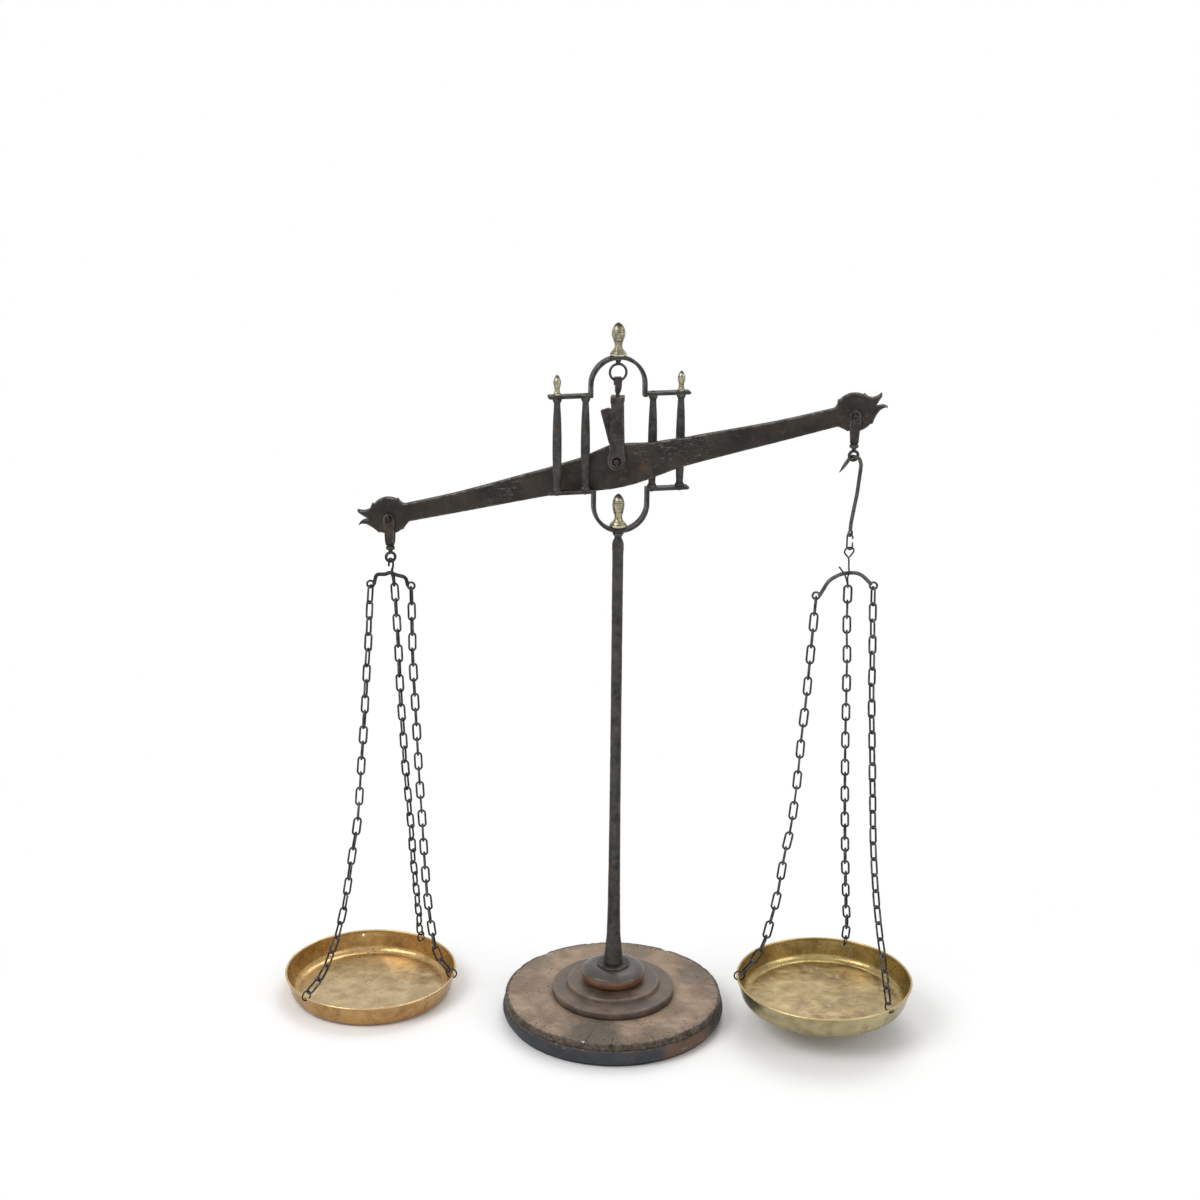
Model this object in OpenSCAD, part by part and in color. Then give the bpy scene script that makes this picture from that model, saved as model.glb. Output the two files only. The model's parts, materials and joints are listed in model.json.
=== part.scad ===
// Antique balance scale: turned wooden foot, iron column and yoke, flat iron
// beam on knife edges, two brass pans on iron chains. Millimetres, Z up.
// The beam swings in the XZ plane; its left end is down and the left pan
// stands on the table.

/* [Foot] */
// Widest diameter of the wooden disc
disc_d = 255; // [220:1:300]
// Height of the wooden disc
disc_h = 28; // [20:0.5:40]
// Lower tier of the riser: diameter
tier1_d = 140.8; // [110:0.2:180]
// Lower tier of the riser: height
tier1_h = 10; // [6:0.5:16]
// Upper tier of the riser: diameter
tier2_d = 106.6; // [90:0.2:130]
// Upper tier of the riser: height
tier2_h = 6.5; // [4:0.5:12]
// Diameter of the bun
bun_d = 73.6; // [60:0.2:90]
// Height of the bun
bun_h = 19.5; // [14:0.5:28]
// Diameter of the iron washer under the column
washer_d = 38; // [28:0.5:50]

/* [Column] */
// Height at which the column's head meets the yoke
column_top = 581.3; // [500:0.1:700]
// Diameter of the column in its upper half
column_d = 12.2; // [9:0.1:18]
// Diameter of the column's foot
column_foot_d = 22.6; // [18:0.1:32]
// Diameter of the tang through the wood
tang_d = 10; // [7:0.1:12]
// Diameter of the stud through the yoke
stud_d = 6; // [4:0.1:8]

/* [Yoke] */
// Turn of the yoke against the beam, degrees
yoke_turn = 16.5; // [12:0.5:24]
// Thickness of the forged bars
bar_t = 4; // [3:0.1:6]
// Depth of the forged bars
bar_w = 10; // [7:0.1:14]
// Half the spacing of the legs of the arch and of the U
leg_x = 29.3; // [25:0.1:36]
// Clear height between the two rails
rail_gap = 100.3; // [80:0.1:130]
// Place of the inner balusters from the axis
pillar_in = 36.6; // [34:0.1:44]
// Place of the outer balusters from the axis
pillar_out = 67.2; // [56:0.1:80]
// Largest diameter of the balusters
pillar_d = 10; // [7:0.1:13]

/* [Brass] */
// Height of the acorn over the arch
top_finial_h = 35; // [25:0.5:50]
// Height of the acorn in the U
low_finial_h = 36.5; // [25:0.5:45]
// Height of the small finials
side_finial_h = 21.5; // [12:0.5:30]

/* [Beam] */
// Distance from the middle knife to each end knife
arm = 257; // [200:1:320]
// Tilt of the beam at its stop, degrees
tilt = 14.4; // [0:0.1:14.6]
// Thickness of the beam
beam_t = 7.5; // [5:0.1:9]
// Depth of the end knives under the middle one
end_drop = 7.6; // [0:0.1:12]
// Diameter of the middle knife's core
knife_d = 5.6; // [4:0.1:7]
// Diameter of the end knives' core
end_knife_d = 4; // [3:0.1:5]

/* [Hangers] */
// Width of the stirrup at its hole
stirrup_w = 19.4; // [17:0.1:24]
// Diameter of the stirrup's bearing hole
stirrup_hole_d = 9.7; // [8:0.1:11]
// Diameter of the shackles' bearing holes
shackle_hole_d = 7.5; // [6:0.1:8]
// Length of a shackle from its hole to the bead
shackle_len = 31; // [28:0.5:40]

/* [Chains] */
// Wire of the chain links
chain_wire = 2.35; // [1.8:0.05:3]
// Width of the chain links
link_w = 10; // [8:0.1:13]
// Play between neighbouring links
chain_gap = 0.2; // [0.1:0.05:0.4]
// Wire of the forged bows
bow_wire = 4.2; // [3:0.1:5]

/* [Pans] */
// Outer diameter of the pans at the rim
pan_d = 202; // [160:1:240]
// Depth of the pans
pan_h = 28; // [20:0.5:40]
// Wall of the left pan
pan_wall_left = 1.2; // [0.9:0.1:2]
// Wall of the right pan
pan_wall_right = 1; // [0.8:0.1:1.8]
// Height of the right pan over the table
pan_lift = 31; // [26:0.5:60]

/* [Hidden] */
$fn = 64;

wood = [0.55, 0.42, 0.33];
iron = [0.26, 0.25, 0.24];
brass = [0.72, 0.64, 0.4];

fit = 0.05;

// Heights of the foot, stacked from the table up
step_z = disc_h;
bun_z = step_z + tier1_h + tier2_h;
washer_t = 2;
washer_z = bun_z + bun_h;
column_z = washer_z + washer_t;
recess_d = 40;
recess_h = 12;

// Heights of the yoke, from the column's head up
u_drop = 43.2;
u_x = 2;
arch_x = -1.8;
low_rail_z = column_top + bar_t / 2 + u_drop + bar_t / 2;
top_rail_z = low_rail_z + bar_t / 2 + rail_gap + bar_t / 2;
arch_rise = 40;
crown_z = top_rail_z + arch_rise + bar_t / 2;
rail_end = 9;
stop_z = low_rail_z - 1.9;
tenon_d = 3.6;
skirt_t = 1.2;
eye_r = 8.9;
eye_wire = 2.8;
eye_z = crown_z - 18.1;

// The beam's middle knife and the two end knives
pivot = [-2, 0, eye_z - 95.7];
function on_beam(u, v) = pivot
    + [u * cos(tilt) - v * sin(tilt), 0, u * sin(tilt) + v * cos(tilt)];
left_pin = on_beam(-arm, -end_drop);
right_pin = on_beam(arm, -end_drop);
cheek_in = beam_t / 2 + 0.65;
cheek_t = 3;
shackle_in = beam_t / 2 + 0.45;
shackle_t = 2.5;
toe_gap = 0.08;
tongue_x = 2.2;
tongue_top = 57;

// Swivel over the beam, from the ring down
hook_z = eye_z - eye_r;
block_top = pivot[2] + 69.9;
block_h = 10.4;

// Eye under each shackle, and what hangs in it
shackle_eye_r = 5.05;
shackle_eye_wire = 3.3;
shackle_eye_drop = shackle_len + 13.3;
eye_floor = shackle_eye_drop + shackle_eye_r;
eye_turn = 20;
hook_turn = -45;
touch = 0.1;

// Small hook of the left side and the bow that hangs in it
s_wire = 2.6;
s_len = 30.8;
s_top = [left_pin[0] + 0.5, 0, left_pin[2] - eye_floor
    + (shackle_eye_wire + s_wire) / 2 + touch];
left_bow_z = s_top[2] - 16.5;
small_ring_r = 3.9;
small_ring_wire = 2.4;

// Long hook of the right side, the worn link and the wire hook below it
long_wire = 4.2;
long_top = [right_pin[0] + 0.2, 0, right_pin[2] - eye_floor
    + (shackle_eye_wire + long_wire) / 2 + 2 * touch];
long_eye_z = long_top[2] - 84.2;
long_eye_r = 3;
long_eye_wire = 2.6;
long_eye_turn = 50;
open_wire = 2;
open_w = 9.4;
open_len = 19.4;
open_top = long_eye_z - long_eye_r + long_eye_wire / 2 + touch + open_wire;
open_turn = -40;
hook_wire = 1.9;
hook_len = 44.8;
heart_turn = 25;
heart_top = open_top - open_len + open_wire + touch + hook_wire / 2;
right_bow_z = heart_top - 28.5;

// First joints of the chains, on the bows and in the hooks
left_outer_start = [-272, 0, s_top[2] - 32.5];
left_inner_start = [-227, 0, s_top[2] - 32.9];
left_start = s_top + [3, 0, -s_len + s_wire / 2 + touch];
right_inner_start = [215.5, 0, right_bow_z - 29.4];
right_outer_start = [276.5, 0, right_bow_z - 16.2];
right_start = [long_top[0] + 0.2, 0, heart_top - hook_len + hook_wire / 2 + touch];

// Pans and their wire rings
left_pan = [-289.5, 30.5, 0];
right_pan = [242.6, 0, pan_lift];
rim_r = 1.4;
ring_wire = 1.8;
ring_r = 5.8;
ring_in = pan_d / 2 - 3.8;
hole_d = 3;
hole_in = 5.5;
left_front_a = 231;
left_back_a = 62;
left_inner_a = 357;
spare_a = 106;
right_outer_a = 317;
right_back_a = 74;
right_inner_a = 184;

// Smooth curve through hand-set points
function curve(p, n) = concat(
    [for (i = [0:len(p) - 2]) for (k = [0:n - 1])
        spline(p[max(i - 1, 0)], p[i], p[i + 1], p[min(i + 2, len(p) - 1)], k / n)],
    [p[len(p) - 1]]
);
function spline(a, b, c, d, t) = 0.5 * (2 * b + (c - a) * t
    + (2 * a - 5 * b + 4 * c - d) * t * t
    + (3 * b - a - 3 * c + d) * t * t * t);

// Arc of a circle as points
function arc(c, r, from, to, n = 8) = [
    for (i = [0:n]) let (a = from + (to - from) * i / n)
        c + r * [cos(a), sin(a)]
];

// Solid of revolution about Z from radius and height points
module turned(profile) {
    rotate_extrude() polygon(profile);
}

// Wire bent to a radius at each corner of a route, with a ball at each change
module bent(p, r, d) {
    n = len(p) - 1;
    way = [for (i = [0:n - 1]) (p[i + 1] - p[i]) / norm(p[i + 1] - p[i])];
    turn = [for (i = [0:n]) i == 0 || i == n ? 0 : acos(way[i - 1] * way[i])];
    cut = [for (i = [0:n]) r[i] * tan(turn[i] / 2)];
    for (i = [0:n - 1]) {
        a = p[i] + cut[i] * way[i];
        far = norm(p[i + 1] - p[i]) - cut[i] - cut[i + 1];
        translate(a) heading(way[i]) {
            if (far > 0.02) {
                cylinder(h = far, d = d);
            }
            for (z = [0, far]) {
                translate([0, 0, z]) sphere(d = d + 0.06);
            }
        }
    }
    for (i = [1:n - 1]) {
        side = cross(way[i - 1], way[i]);
        axis = side / norm(side);
        out = -cross(axis, way[i - 1]);
        hub = p[i] - cut[i] * way[i - 1] - r[i] * out;
        multmatrix([
            [out[0], way[i - 1][0], axis[0], hub[0]],
            [out[1], way[i - 1][1], axis[1], hub[1]],
            [out[2], way[i - 1][2], axis[2], hub[2]],
            [0, 0, 0, 1]
        ]) rotate_extrude(angle = turn[i]) translate([r[i], 0]) circle(d = d);
    }
}

module heading(v) {
    rotate([0, acos(v[2]), atan2(v[1], v[0])]) children();
}

// Points of a flat bend turned about the vertical line through a place
function turned_flat(place, a, p) = [
    for (q = p) place + [q[0] * cos(a), q[0] * sin(a), q[1]]
];

module ring(r, d) {
    rotate_extrude() translate([r, 0]) circle(d = d);
}

module base_disc() {
    r = disc_d / 2;
    band = 6.5;
    groove_z = disc_h - band - 1;
    color(wood) difference() {
        turned(concat(
            [[0, 0], [r - 6, 0]],
            arc([r - 12, 12], 12, -60, 42, 10),
            [[r - 3.2, groove_z - 0.2], [r - 4.4, groove_z + 0.5]],
            [[r - 2.4, groove_z + 1.1]],
            arc([r - 4.2, disc_h - 1.5], 1.5, 20, 90, 4),
            [[0, disc_h]]
        ));
        translate([0, 0, -1]) cylinder(h = recess_h + 1, d = recess_d);
        translate([0, 0, -1]) cylinder(h = disc_h + 2, d = tang_d + 0.4);
    }
}

module base_step() {
    color(wood) translate([0, 0, step_z]) difference() {
        turned(concat(
            [[0, 0], [tier1_d / 2 - 1, 0]],
            arc([tier1_d / 2 - 1.5, 1.5], 1.5, -30, 0, 3),
            arc([tier1_d / 2 - 3, tier1_h - 3], 3, 0, 60, 5),
            [[tier2_d / 2 + 5.5, tier1_h], [tier2_d / 2 + 1, tier1_h + 0.3]],
            arc([tier2_d / 2 - 2.5, tier1_h + tier2_h - 2.5], 2.5, 0, 80, 5),
            [[0, tier1_h + tier2_h]]
        ));
        translate([0, 0, -1]) cylinder(h = 40, d = tang_d + 0.4);
    }
}

module base_bun() {
    color(wood) translate([0, 0, bun_z]) difference() {
        turned(concat(
            [[0, 0], [bun_d / 2 - 7, 0]],
            arc([bun_d / 2 - 9, 9], 9, -70, 40, 12),
            [for (t = [1:5]) [
                bun_d / 2 - 2.1 - t * 2.6,
                14.8 + (bun_h - 14.8) * sin(t * 18)
            ]],
            [[0, bun_h]]
        ));
        translate([0, 0, -1]) cylinder(h = bun_h + 2, d = tang_d + 0.4);
    }
}

module post_washer() {
    color(iron) translate([0, 0, washer_z]) difference() {
        turned([
            [0, 0], [washer_d / 2, 0], [washer_d / 2, washer_t - 0.6],
            [washer_d / 2 - 0.8, washer_t], [0, washer_t]
        ]);
        translate([0, 0, -1]) cylinder(h = 4, d = tang_d + 2 * fit);
    }
}

module post() {
    r = column_d / 2;
    foot = column_foot_d / 2;
    color(iron) turned(concat(
        [[0, 2.5], [tang_d / 2, 2.5], [tang_d / 2, column_z]],
        [[foot - 0.6, column_z], [foot, column_z + 0.8]],
        curve([
            [foot, column_z + 2.5], [9.1, column_z + 24],
            [7.8, column_z + 44], [6.9, column_z + 110],
            [r + 0.25, column_z + 210], [r, column_z + 330],
            [r, column_top - 40], [r + 0.1, column_top - 21]
        ], 3),
        [[r + 0.35, column_top - 20.4]],
        curve([
            [r + 0.35, column_top - 13], [r - 0.7, column_top - 9.2],
            [4.1, column_top - 6.6], [3.9, column_top - 5]
        ], 3),
        [[6.2, column_top - 1.6], [6.2, column_top - 0.2]],
        [[stud_d / 2, column_top - 0.2], [stud_d / 2, column_top + 15]],
        [[0, column_top + 15]]
    ));
}

module base_nut() {
    color(iron) {
        difference() {
            translate([0, 0, recess_h - 1.5]) cylinder(h = 1.5, d = 34);
            translate([0, 0, 3]) cylinder(h = 12, d = tang_d + 2 * fit);
        }
        difference() {
            translate([0, 0, 3.5]) cylinder(h = 7, d = 19, $fn = 6);
            translate([0, 0, 3]) cylinder(h = 12, d = tang_d + 2 * fit);
        }
    }
}

// Wooden plug that closes the nut's recess flush with the underside
module base_plug() {
    color(wood) cylinder(h = 2.2, d = recess_d - 2 * fit);
}

module in_yoke() {
    rotate([0, 0, yoke_turn]) children();
}

// One bent bar seen from the front: half ring, legs and two rails
module yoke_outline(cx, bow_h, left_leg, right_leg) {
    half = leg_x + bar_t / 2;
    end = pillar_out + rail_end - 1;
    difference() {
        translate([cx, bow_h]) circle(r = half, $fn = 96);
        translate([cx, bow_h]) circle(r = half - bar_t, $fn = 96);
        translate([cx - 60, bow_h]) square([120, 60]);
    }
    translate([cx - half, bow_h]) square([bar_t, left_leg - bow_h]);
    translate([cx + half - bar_t, bow_h]) square([bar_t, right_leg - bow_h]);
    translate([-end, -bar_t / 2]) square([end + cx - half + 1, bar_t]);
    translate([cx + half - 1, -bar_t / 2]) square([end - cx - half + 1, bar_t]);
    for (x = [-end, end]) {
        translate([x, 0]) circle(d = bar_t);
    }
}

module yoke_bar(z, up) {
    translate([0, 0, z]) mirror([0, 0, up])
        translate([0, bar_w / 2, 0]) rotate([90, 0, 0])
            linear_extrude(bar_w) children();
}

module pillar_bores(z) {
    for (x = [-pillar_out, -pillar_in, pillar_in, pillar_out]) {
        translate([x, 0, z - 6]) cylinder(h = 12, d = tenon_d + 2 * fit);
    }
}

module lower_yoke() {
    bow_h = column_top + bar_t / 2 + leg_x - low_rail_z;
    color(iron) difference() {
        in_yoke() difference() {
            yoke_bar(low_rail_z, 0)
                yoke_outline(u_x, bow_h, bar_t / 2, bar_t / 2);
            pillar_bores(low_rail_z);
            translate([0, 0, column_top - 3]) cylinder(h = 12, d = stud_d + 2 * fit);
        }
        // Filed seat on which the lowered beam comes to rest
        translate([-44, -beam_t / 2 - 1.2, stop_z]) cube([26, 20, 12]);
    }
}

module upper_arch() {
    bow_h = -(arch_rise - leg_x);
    color(iron) in_yoke() difference() {
        yoke_bar(top_rail_z, 1)
            yoke_outline(arch_x, bow_h, bar_t / 2, bar_t / 2 + 1);
        pillar_bores(top_rail_z);
        translate([arch_x, 0, crown_z - 8]) cylinder(h = 12, d = 4.5 + 2 * fit);
    }
}

// Baluster with flared collars; its tenons go through both rails
module pillar(x, top_tenon) {
    h = rail_gap;
    r = pillar_d / 2;
    color(iron) in_yoke() translate([x, 0, low_rail_z + bar_t / 2]) turned(concat(
        [[0, -bar_t - 1.2], [2.2, -bar_t - 1.2], [2.9, -bar_t - 0.1]],
        [[tenon_d / 2, -bar_t - 0.1], [tenon_d / 2, 0.05]],
        [[5.2, 0.05], [5.2, 1.6], [3.9, 4], [3.7, 5.6]],
        curve([
            [3.9, 6.2], [r - 0.35, 24], [r, 50], [r - 0.5, 74], [3.5, h - 6]
        ], 4),
        [[3.5, h - 5], [4.9, h - 2], [4.9, h - 0.05]],
        [[tenon_d / 2, h - 0.05], [tenon_d / 2, h + bar_t + top_tenon]],
        [[0, h + bar_t + top_tenon]]
    ));
}

module pillar_left_outer() {
    pillar(-pillar_out, 8);
}

module pillar_left_inner() {
    pillar(-pillar_in, 0.8);
}

module pillar_right_inner() {
    pillar(pillar_in, 0.8);
}

module pillar_right_outer() {
    pillar(pillar_out, 8);
}

// Brass acorn of unit height over a flange, with a blind bore
module acorn(h, flange, neck, body, bore, depth, sink) {
    difference() {
        turned(concat(
            [[0, -sink], [bore / 2 + skirt_t, -sink], [bore / 2 + skirt_t, 0]],
            [[flange - 0.7, 0], [flange, 0.02 * h], [flange, 0.06 * h]],
            [[flange - 1.2, 0.1 * h], [flange - 1.9, 0.13 * h]],
            curve([
                [flange - 2.4, 0.145 * h], [neck + 0.9, 0.2 * h],
                [neck, 0.29 * h], [neck + 0.5, 0.38 * h]
            ], 3),
            [[neck + 1.3, 0.44 * h], [neck + 1.1, 0.45 * h]],
            curve([
                [neck + 1.5, 0.47 * h], [body * 0.94, 0.57 * h],
                [body, 0.66 * h], [body * 0.97, 0.72 * h]
            ], 3),
            [[body * 0.92, 0.73 * h], [body * 0.92, 0.742 * h]],
            curve([
                [body * 0.95, 0.75 * h], [body * 0.84, 0.83 * h],
                [body * 0.58, 0.92 * h], [body * 0.36, 0.965 * h],
                [body * 0.2, 0.99 * h]
            ], 3),
            [[0, h]]
        ));
        translate([0, 0, -sink - 1]) cylinder(h = depth + sink + 1, d = bore);
    }
}

module top_finial() {
    color(brass) in_yoke() translate([arch_x, 0, crown_z + 0.02])
        acorn(top_finial_h, 9.1, 4.1, 7.4, 4.5 + 2 * fit, 10, 0);
}

// Rise of the U's round floor at a distance from its middle
function floor_rise(x) = leg_x - bar_t / 2
    - sqrt(pow(leg_x - bar_t / 2, 2) - x * x);

module lower_finial() {
    flange = 9.4;
    bore = stud_d + 2 * fit;
    lift = floor_rise(flange + u_x) + 0.1;
    skirt = floor_rise(bore / 2 + skirt_t + u_x) + 0.1;
    color(brass) in_yoke() translate([0, 0, column_top + bar_t + lift])
        acorn(low_finial_h, flange, 4.3, 6.8, bore, 12, lift - skirt);
}

module side_finial(x) {
    color(brass) in_yoke() translate([x, 0, top_rail_z + bar_t / 2 + 0.02])
        difference() {
            turned(concat(
                [[0, 0], [4.1, 0], [4.2, 1.4], [3.4, 2.4], [2.9, 4]],
                curve([
                    [2.8, 6], [3.1, 7.6], [4.2, 12.2],
                    [3.9, 15.5], [2.6, 18.6], [1.3, 20.8]
                ], 3),
                [[0, side_finial_h]]
            ));
            translate([0, 0, -1]) cylinder(h = 9.6, d = tenon_d + 2 * fit);
        }
}

module finial_left() {
    side_finial(-pillar_out);
}

module finial_right() {
    side_finial(pillar_out);
}

module eye_bolt() {
    color(iron) in_yoke() translate([arch_x, 0, 0]) {
        translate([0, 0, eye_z]) rotate([90, 0, 0]) ring(eye_r, eye_wire);
        turned([
            [0, eye_z + eye_r - 0.6], [2.1, eye_z + eye_r - 0.2],
            [2.3, eye_z + eye_r + 1.4], [3.6, crown_z - bar_t - 0.3],
            [2.25, crown_z - bar_t - 0.3], [2.25, crown_z + 9], [0, crown_z + 9]
        ]);
    }
}

// Flat strap bent over the ring, with a swivel stem below
module stirrup_hook() {
    color(iron) difference() {
        translate([pivot[0], 0, 0]) {
            in_yoke() strap_bend(eye_wire / 2 + 0.35, 2.6);
            turned([
                [0, block_top - block_h + 0.2], [3.9, block_top - block_h + 0.2],
                [3.9, block_top - block_h + 2.6], [2.2, block_top - block_h + 3.4],
                [2.2, hook_z - 12.4], [0, hook_z - 12.4]
            ]);
        }
        in_yoke() translate([arch_x, 0, eye_z]) rotate([90, 0, 0])
            ring(eye_r, eye_wire + 0.3);
    }
}

// Side view of the bent strap, cut to its tapering front view
module strap_bend(r_in, t) {
    intersection() {
        translate([6, 0, hook_z]) rotate([90, 0, -90]) linear_extrude(12) {
            difference() {
                circle(r = r_in + t);
                circle(r = r_in);
                translate([-9, -9]) square([18, 9]);
            }
            translate([r_in, -7]) square([t, 7]);
            translate([-r_in - t, -4.5]) square([t, 4.5]);
            translate([-r_in - t + 1.3, -4.5]) circle(d = t);
            polygon([
                [r_in, -6], [r_in + t, -6], [r_in + t, -8],
                [2.2, -13], [-2.2, -13], [-2.2, -10.5]
            ]);
        }
        translate([0, 10, 0]) rotate([90, 0, 0]) linear_extrude(20) polygon([
            [-3.6, hook_z + 6], [3.6, hook_z + 6], [4, hook_z + 1],
            [3.6, hook_z - 6], [2.5, hook_z - 13.2], [-2.5, hook_z - 13.2],
            [-3.6, hook_z - 6], [-4, hook_z + 1]
        ]);
    }
}

module stirrup() {
    half = cheek_in + cheek_t;
    hole_r = stirrup_hole_d / 2;
    top = block_top - block_h;
    color(iron) translate([pivot[0], 0, 0]) difference() {
        union() {
            for (s = [-1, 1]) {
                translate([0, s * (cheek_in + cheek_t / 2) + cheek_t / 2, 0])
                    rotate([90, 0, 0]) linear_extrude(cheek_t) {
                        translate([0, pivot[2]]) circle(d = stirrup_w);
                        polygon([
                            [-stirrup_w / 2 + 0.1, pivot[2] + 2],
                            [-7.6, pivot[2] + 16.6], [-6.55, top + 0.5],
                            [6.55, top + 0.5], [7.6, pivot[2] + 16.6],
                            [stirrup_w / 2 - 0.1, pivot[2] + 2]
                        ]);
                    }
            }
            translate([-7.25, -half, top + 4]) cube([14.5, 2 * half, block_h - 4]);
            translate([-6.55, -half, top]) cube([13.1, 2 * half, 5]);
        }
        translate([0, 20, pivot[2]]) rotate([90, 0, 0])
            cylinder(h = 40, r = hole_r);
        translate([0, 0, top - 1]) cylinder(h = 20, d = 4.4 + 4 * fit);
        translate([0, 0, top - 1]) cylinder(h = 4.6, d = 8.2);
    }
}

module in_beam() {
    translate(pivot) rotate([0, -tilt, 0]) children();
}

// Beam edge from the middle outward: distance and height over the middle knife
beam_top = [
    [0, 19], [7, 17.4], [22, 14.4], [37, 11.4], [56, 10], [77, 8.3],
    [98, 7.5], [174, 4.1], [235, 4.3]
];
beam_low = [
    [0, -29.3], [14, -28.8], [27, -27.3], [38, -25.8], [53, -23.4],
    [71, -21.5], [91, -20.5], [174, -17.8], [235, -15.5]
];

// Open mouth and spurs at the end, about the end knife
beam_mouth = concat(
    [[-21, 11.9]], curve([[-19, 12.4], [-16.6, 15], [-14.5, 19.8]], 2),
    arc([0, 3.1], 20.5, 127, 52, 9),
    curve([
        [14.3, 20.4], [16.8, 16.6], [20, 14.7], [24, 14.3], [28.4, 15.3],
        [32.6, 17.5]
    ], 2),
    curve([[31, 13.2], [28, 10.1], [24.9, 6.8], [21.4, 4.6], [17.8, 3.5]], 2),
    curve([[23, 4.6], [29, 4.4], [33, 2.9], [35.5, 0]], 2),
    curve([
        [31.5, 1], [27.3, 0], [23, -3.4], [19.2, -7.5], [15.4, -13.1]
    ], 2),
    [[13.2, -12.6]],
    arc([0, 3.1], 20.5, -52, -121, 8),
    curve([[-11.5, -15.5], [-14.8, -12.2], [-20.5, -8]], 2)
);

module beam_half(side) {
    translate([0, beam_t / 2, 0]) rotate([90, 0, 0]) linear_extrude(beam_t)
        mirror([side < 0 ? 1 : 0, 0]) {
            polygon(concat(
                curve(beam_top, 3),
                [for (q = beam_mouth) q + [arm, -end_drop]],
                [for (k = [len(beam_low) - 1:-1:0]) beam_low[k]]
            ));
        }
}

module beam() {
    color(iron) in_beam() difference() {
        union() {
            beam_half(1);
            beam_half(-1);
        }
        for (u = [-arm, arm]) {
            translate([u, 10, -end_drop]) rotate([90, 0, 0])
                cylinder(h = 20, d = end_knife_d + 2 * fit);
        }
        translate([0, 10, 0]) rotate([90, 0, 0])
            cylinder(h = 20, d = knife_d + 2 * fit);
        translate([tongue_x - 4, -2, 11]) cube([8, 4, 20]);
    }
}

// Flat pointer standing in a mortise of the beam
module tongue() {
    color(iron) in_beam() {
        translate([0, 2.5, 0]) rotate([90, 0, 0]) linear_extrude(5) polygon([
            [tongue_x - 6.1, 19.7], [tongue_x - 6.3, tongue_top],
            [tongue_x + 2.4, tongue_top + 0.9], [tongue_x + 6, tongue_top - 2],
            [tongue_x + 5.4, 19.7]
        ]);
        translate([tongue_x - 3.9, -1.9, 11.2]) cube([7.8, 3.8, 10]);
    }
}

// Knife edge: round core through the beam, a toe that bears in the cheeks
module knife(core_d, hole_r, from, to, up) {
    toe = hole_r - toe_gap;
    rotate([90, 0, 0]) {
        translate([0, 0, -to - 0.8]) cylinder(h = 2 * to + 1.6, d = core_d);
        for (s = [-1, 1]) {
            translate([0, 0, s * (from + to) / 2 - (to - from) / 2 - 0.2])
                linear_extrude(to - from + 0.4) intersection() {
                    circle(r = toe);
                    polygon([
                        [-core_d * 0.42, 0], [core_d * 0.42, 0],
                        [0.5, up * (toe + 1)], [-0.5, up * (toe + 1)]
                    ]);
                }
        }
    }
}

module center_knife() {
    color(iron) in_beam()
        knife(knife_d, stirrup_hole_d / 2, cheek_in, cheek_in + cheek_t, -1);
}

module end_knife(u) {
    color(iron) in_beam() translate([u, 0, -end_drop])
        knife(end_knife_d, shackle_hole_d / 2, shackle_in, shackle_in + shackle_t, 1);
}

module knife_left() {
    end_knife(-arm);
}

module knife_right() {
    end_knife(arm);
}

// Strap bent round the beam's end, with a bead and a hanging eye
module shackle(pin) {
    half = shackle_in + shackle_t;
    low = shackle_len;
    color(iron) translate(pin) {
        difference() {
            intersection() {
                translate([0, 20, 0]) rotate([90, 0, 0]) linear_extrude(40) {
                    circle(d = 12);
                    polygon([[-6, -2], [6, -2], [4.4, -low], [-4.4, -low]]);
                    translate([-6, -2]) square([12, 3]);
                }
                rotate([90, 0, 90]) translate([0, 0, -10]) linear_extrude(20)
                    difference() {
                        union() {
                            translate([-half, -low + half]) square([2 * half, low]);
                            translate([0, -low + half]) circle(r = half);
                        }
                        translate([-shackle_in, -low + half])
                            square([2 * shackle_in, low + 9]);
                        translate([0, -low + half]) circle(r = shackle_in);
                    }
            }
            translate([0, 20, 0]) rotate([90, 0, 0])
                cylinder(h = 40, d = shackle_hole_d);
        }
        translate([0, 0, -low - 6.6]) turned([
            [0, 0], [2.2, 0], [2.4, 1.2], [4, 1.7], [4.9, 2.7], [5, 4],
            [4.5, 5.4], [3.4, 6.3], [3.2, 7.4], [0, 7.4]
        ]);
        translate([0, 0, -shackle_eye_drop]) rotate([90, 0, eye_turn])
            ring(shackle_eye_r, shackle_eye_wire);
    }
}

module shackle_left() {
    shackle(left_pin);
}

module shackle_right() {
    shackle(right_pin);
}

module hook_left() {
    spread = (bow_wire + s_wire) / 2 + 0.5;
    loop = 3.5;
    u = 2.9;
    color(iron) bent(concat(
        turned_flat(s_top, hook_turn, [[-4.8, -9], [-3.7, 0], [3.7, 0]]),
        [for (q = [
            [2.6, -spread, -8], [0.3, -spread, -15], [1.9, -3, -21],
            [3, -u - 0.2, -s_len], [3, u + 0.2, -s_len], [2.3, 3, -22],
            [-0.2, spread + 0.3, -13]
        ]) s_top + q]
    ), [0, loop, loop, 6, 5, 5, u, u, 8, 0], s_wire);
}

function ring_over(start, r, w) = start + [0, 0, r - w / 2 - touch];

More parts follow.
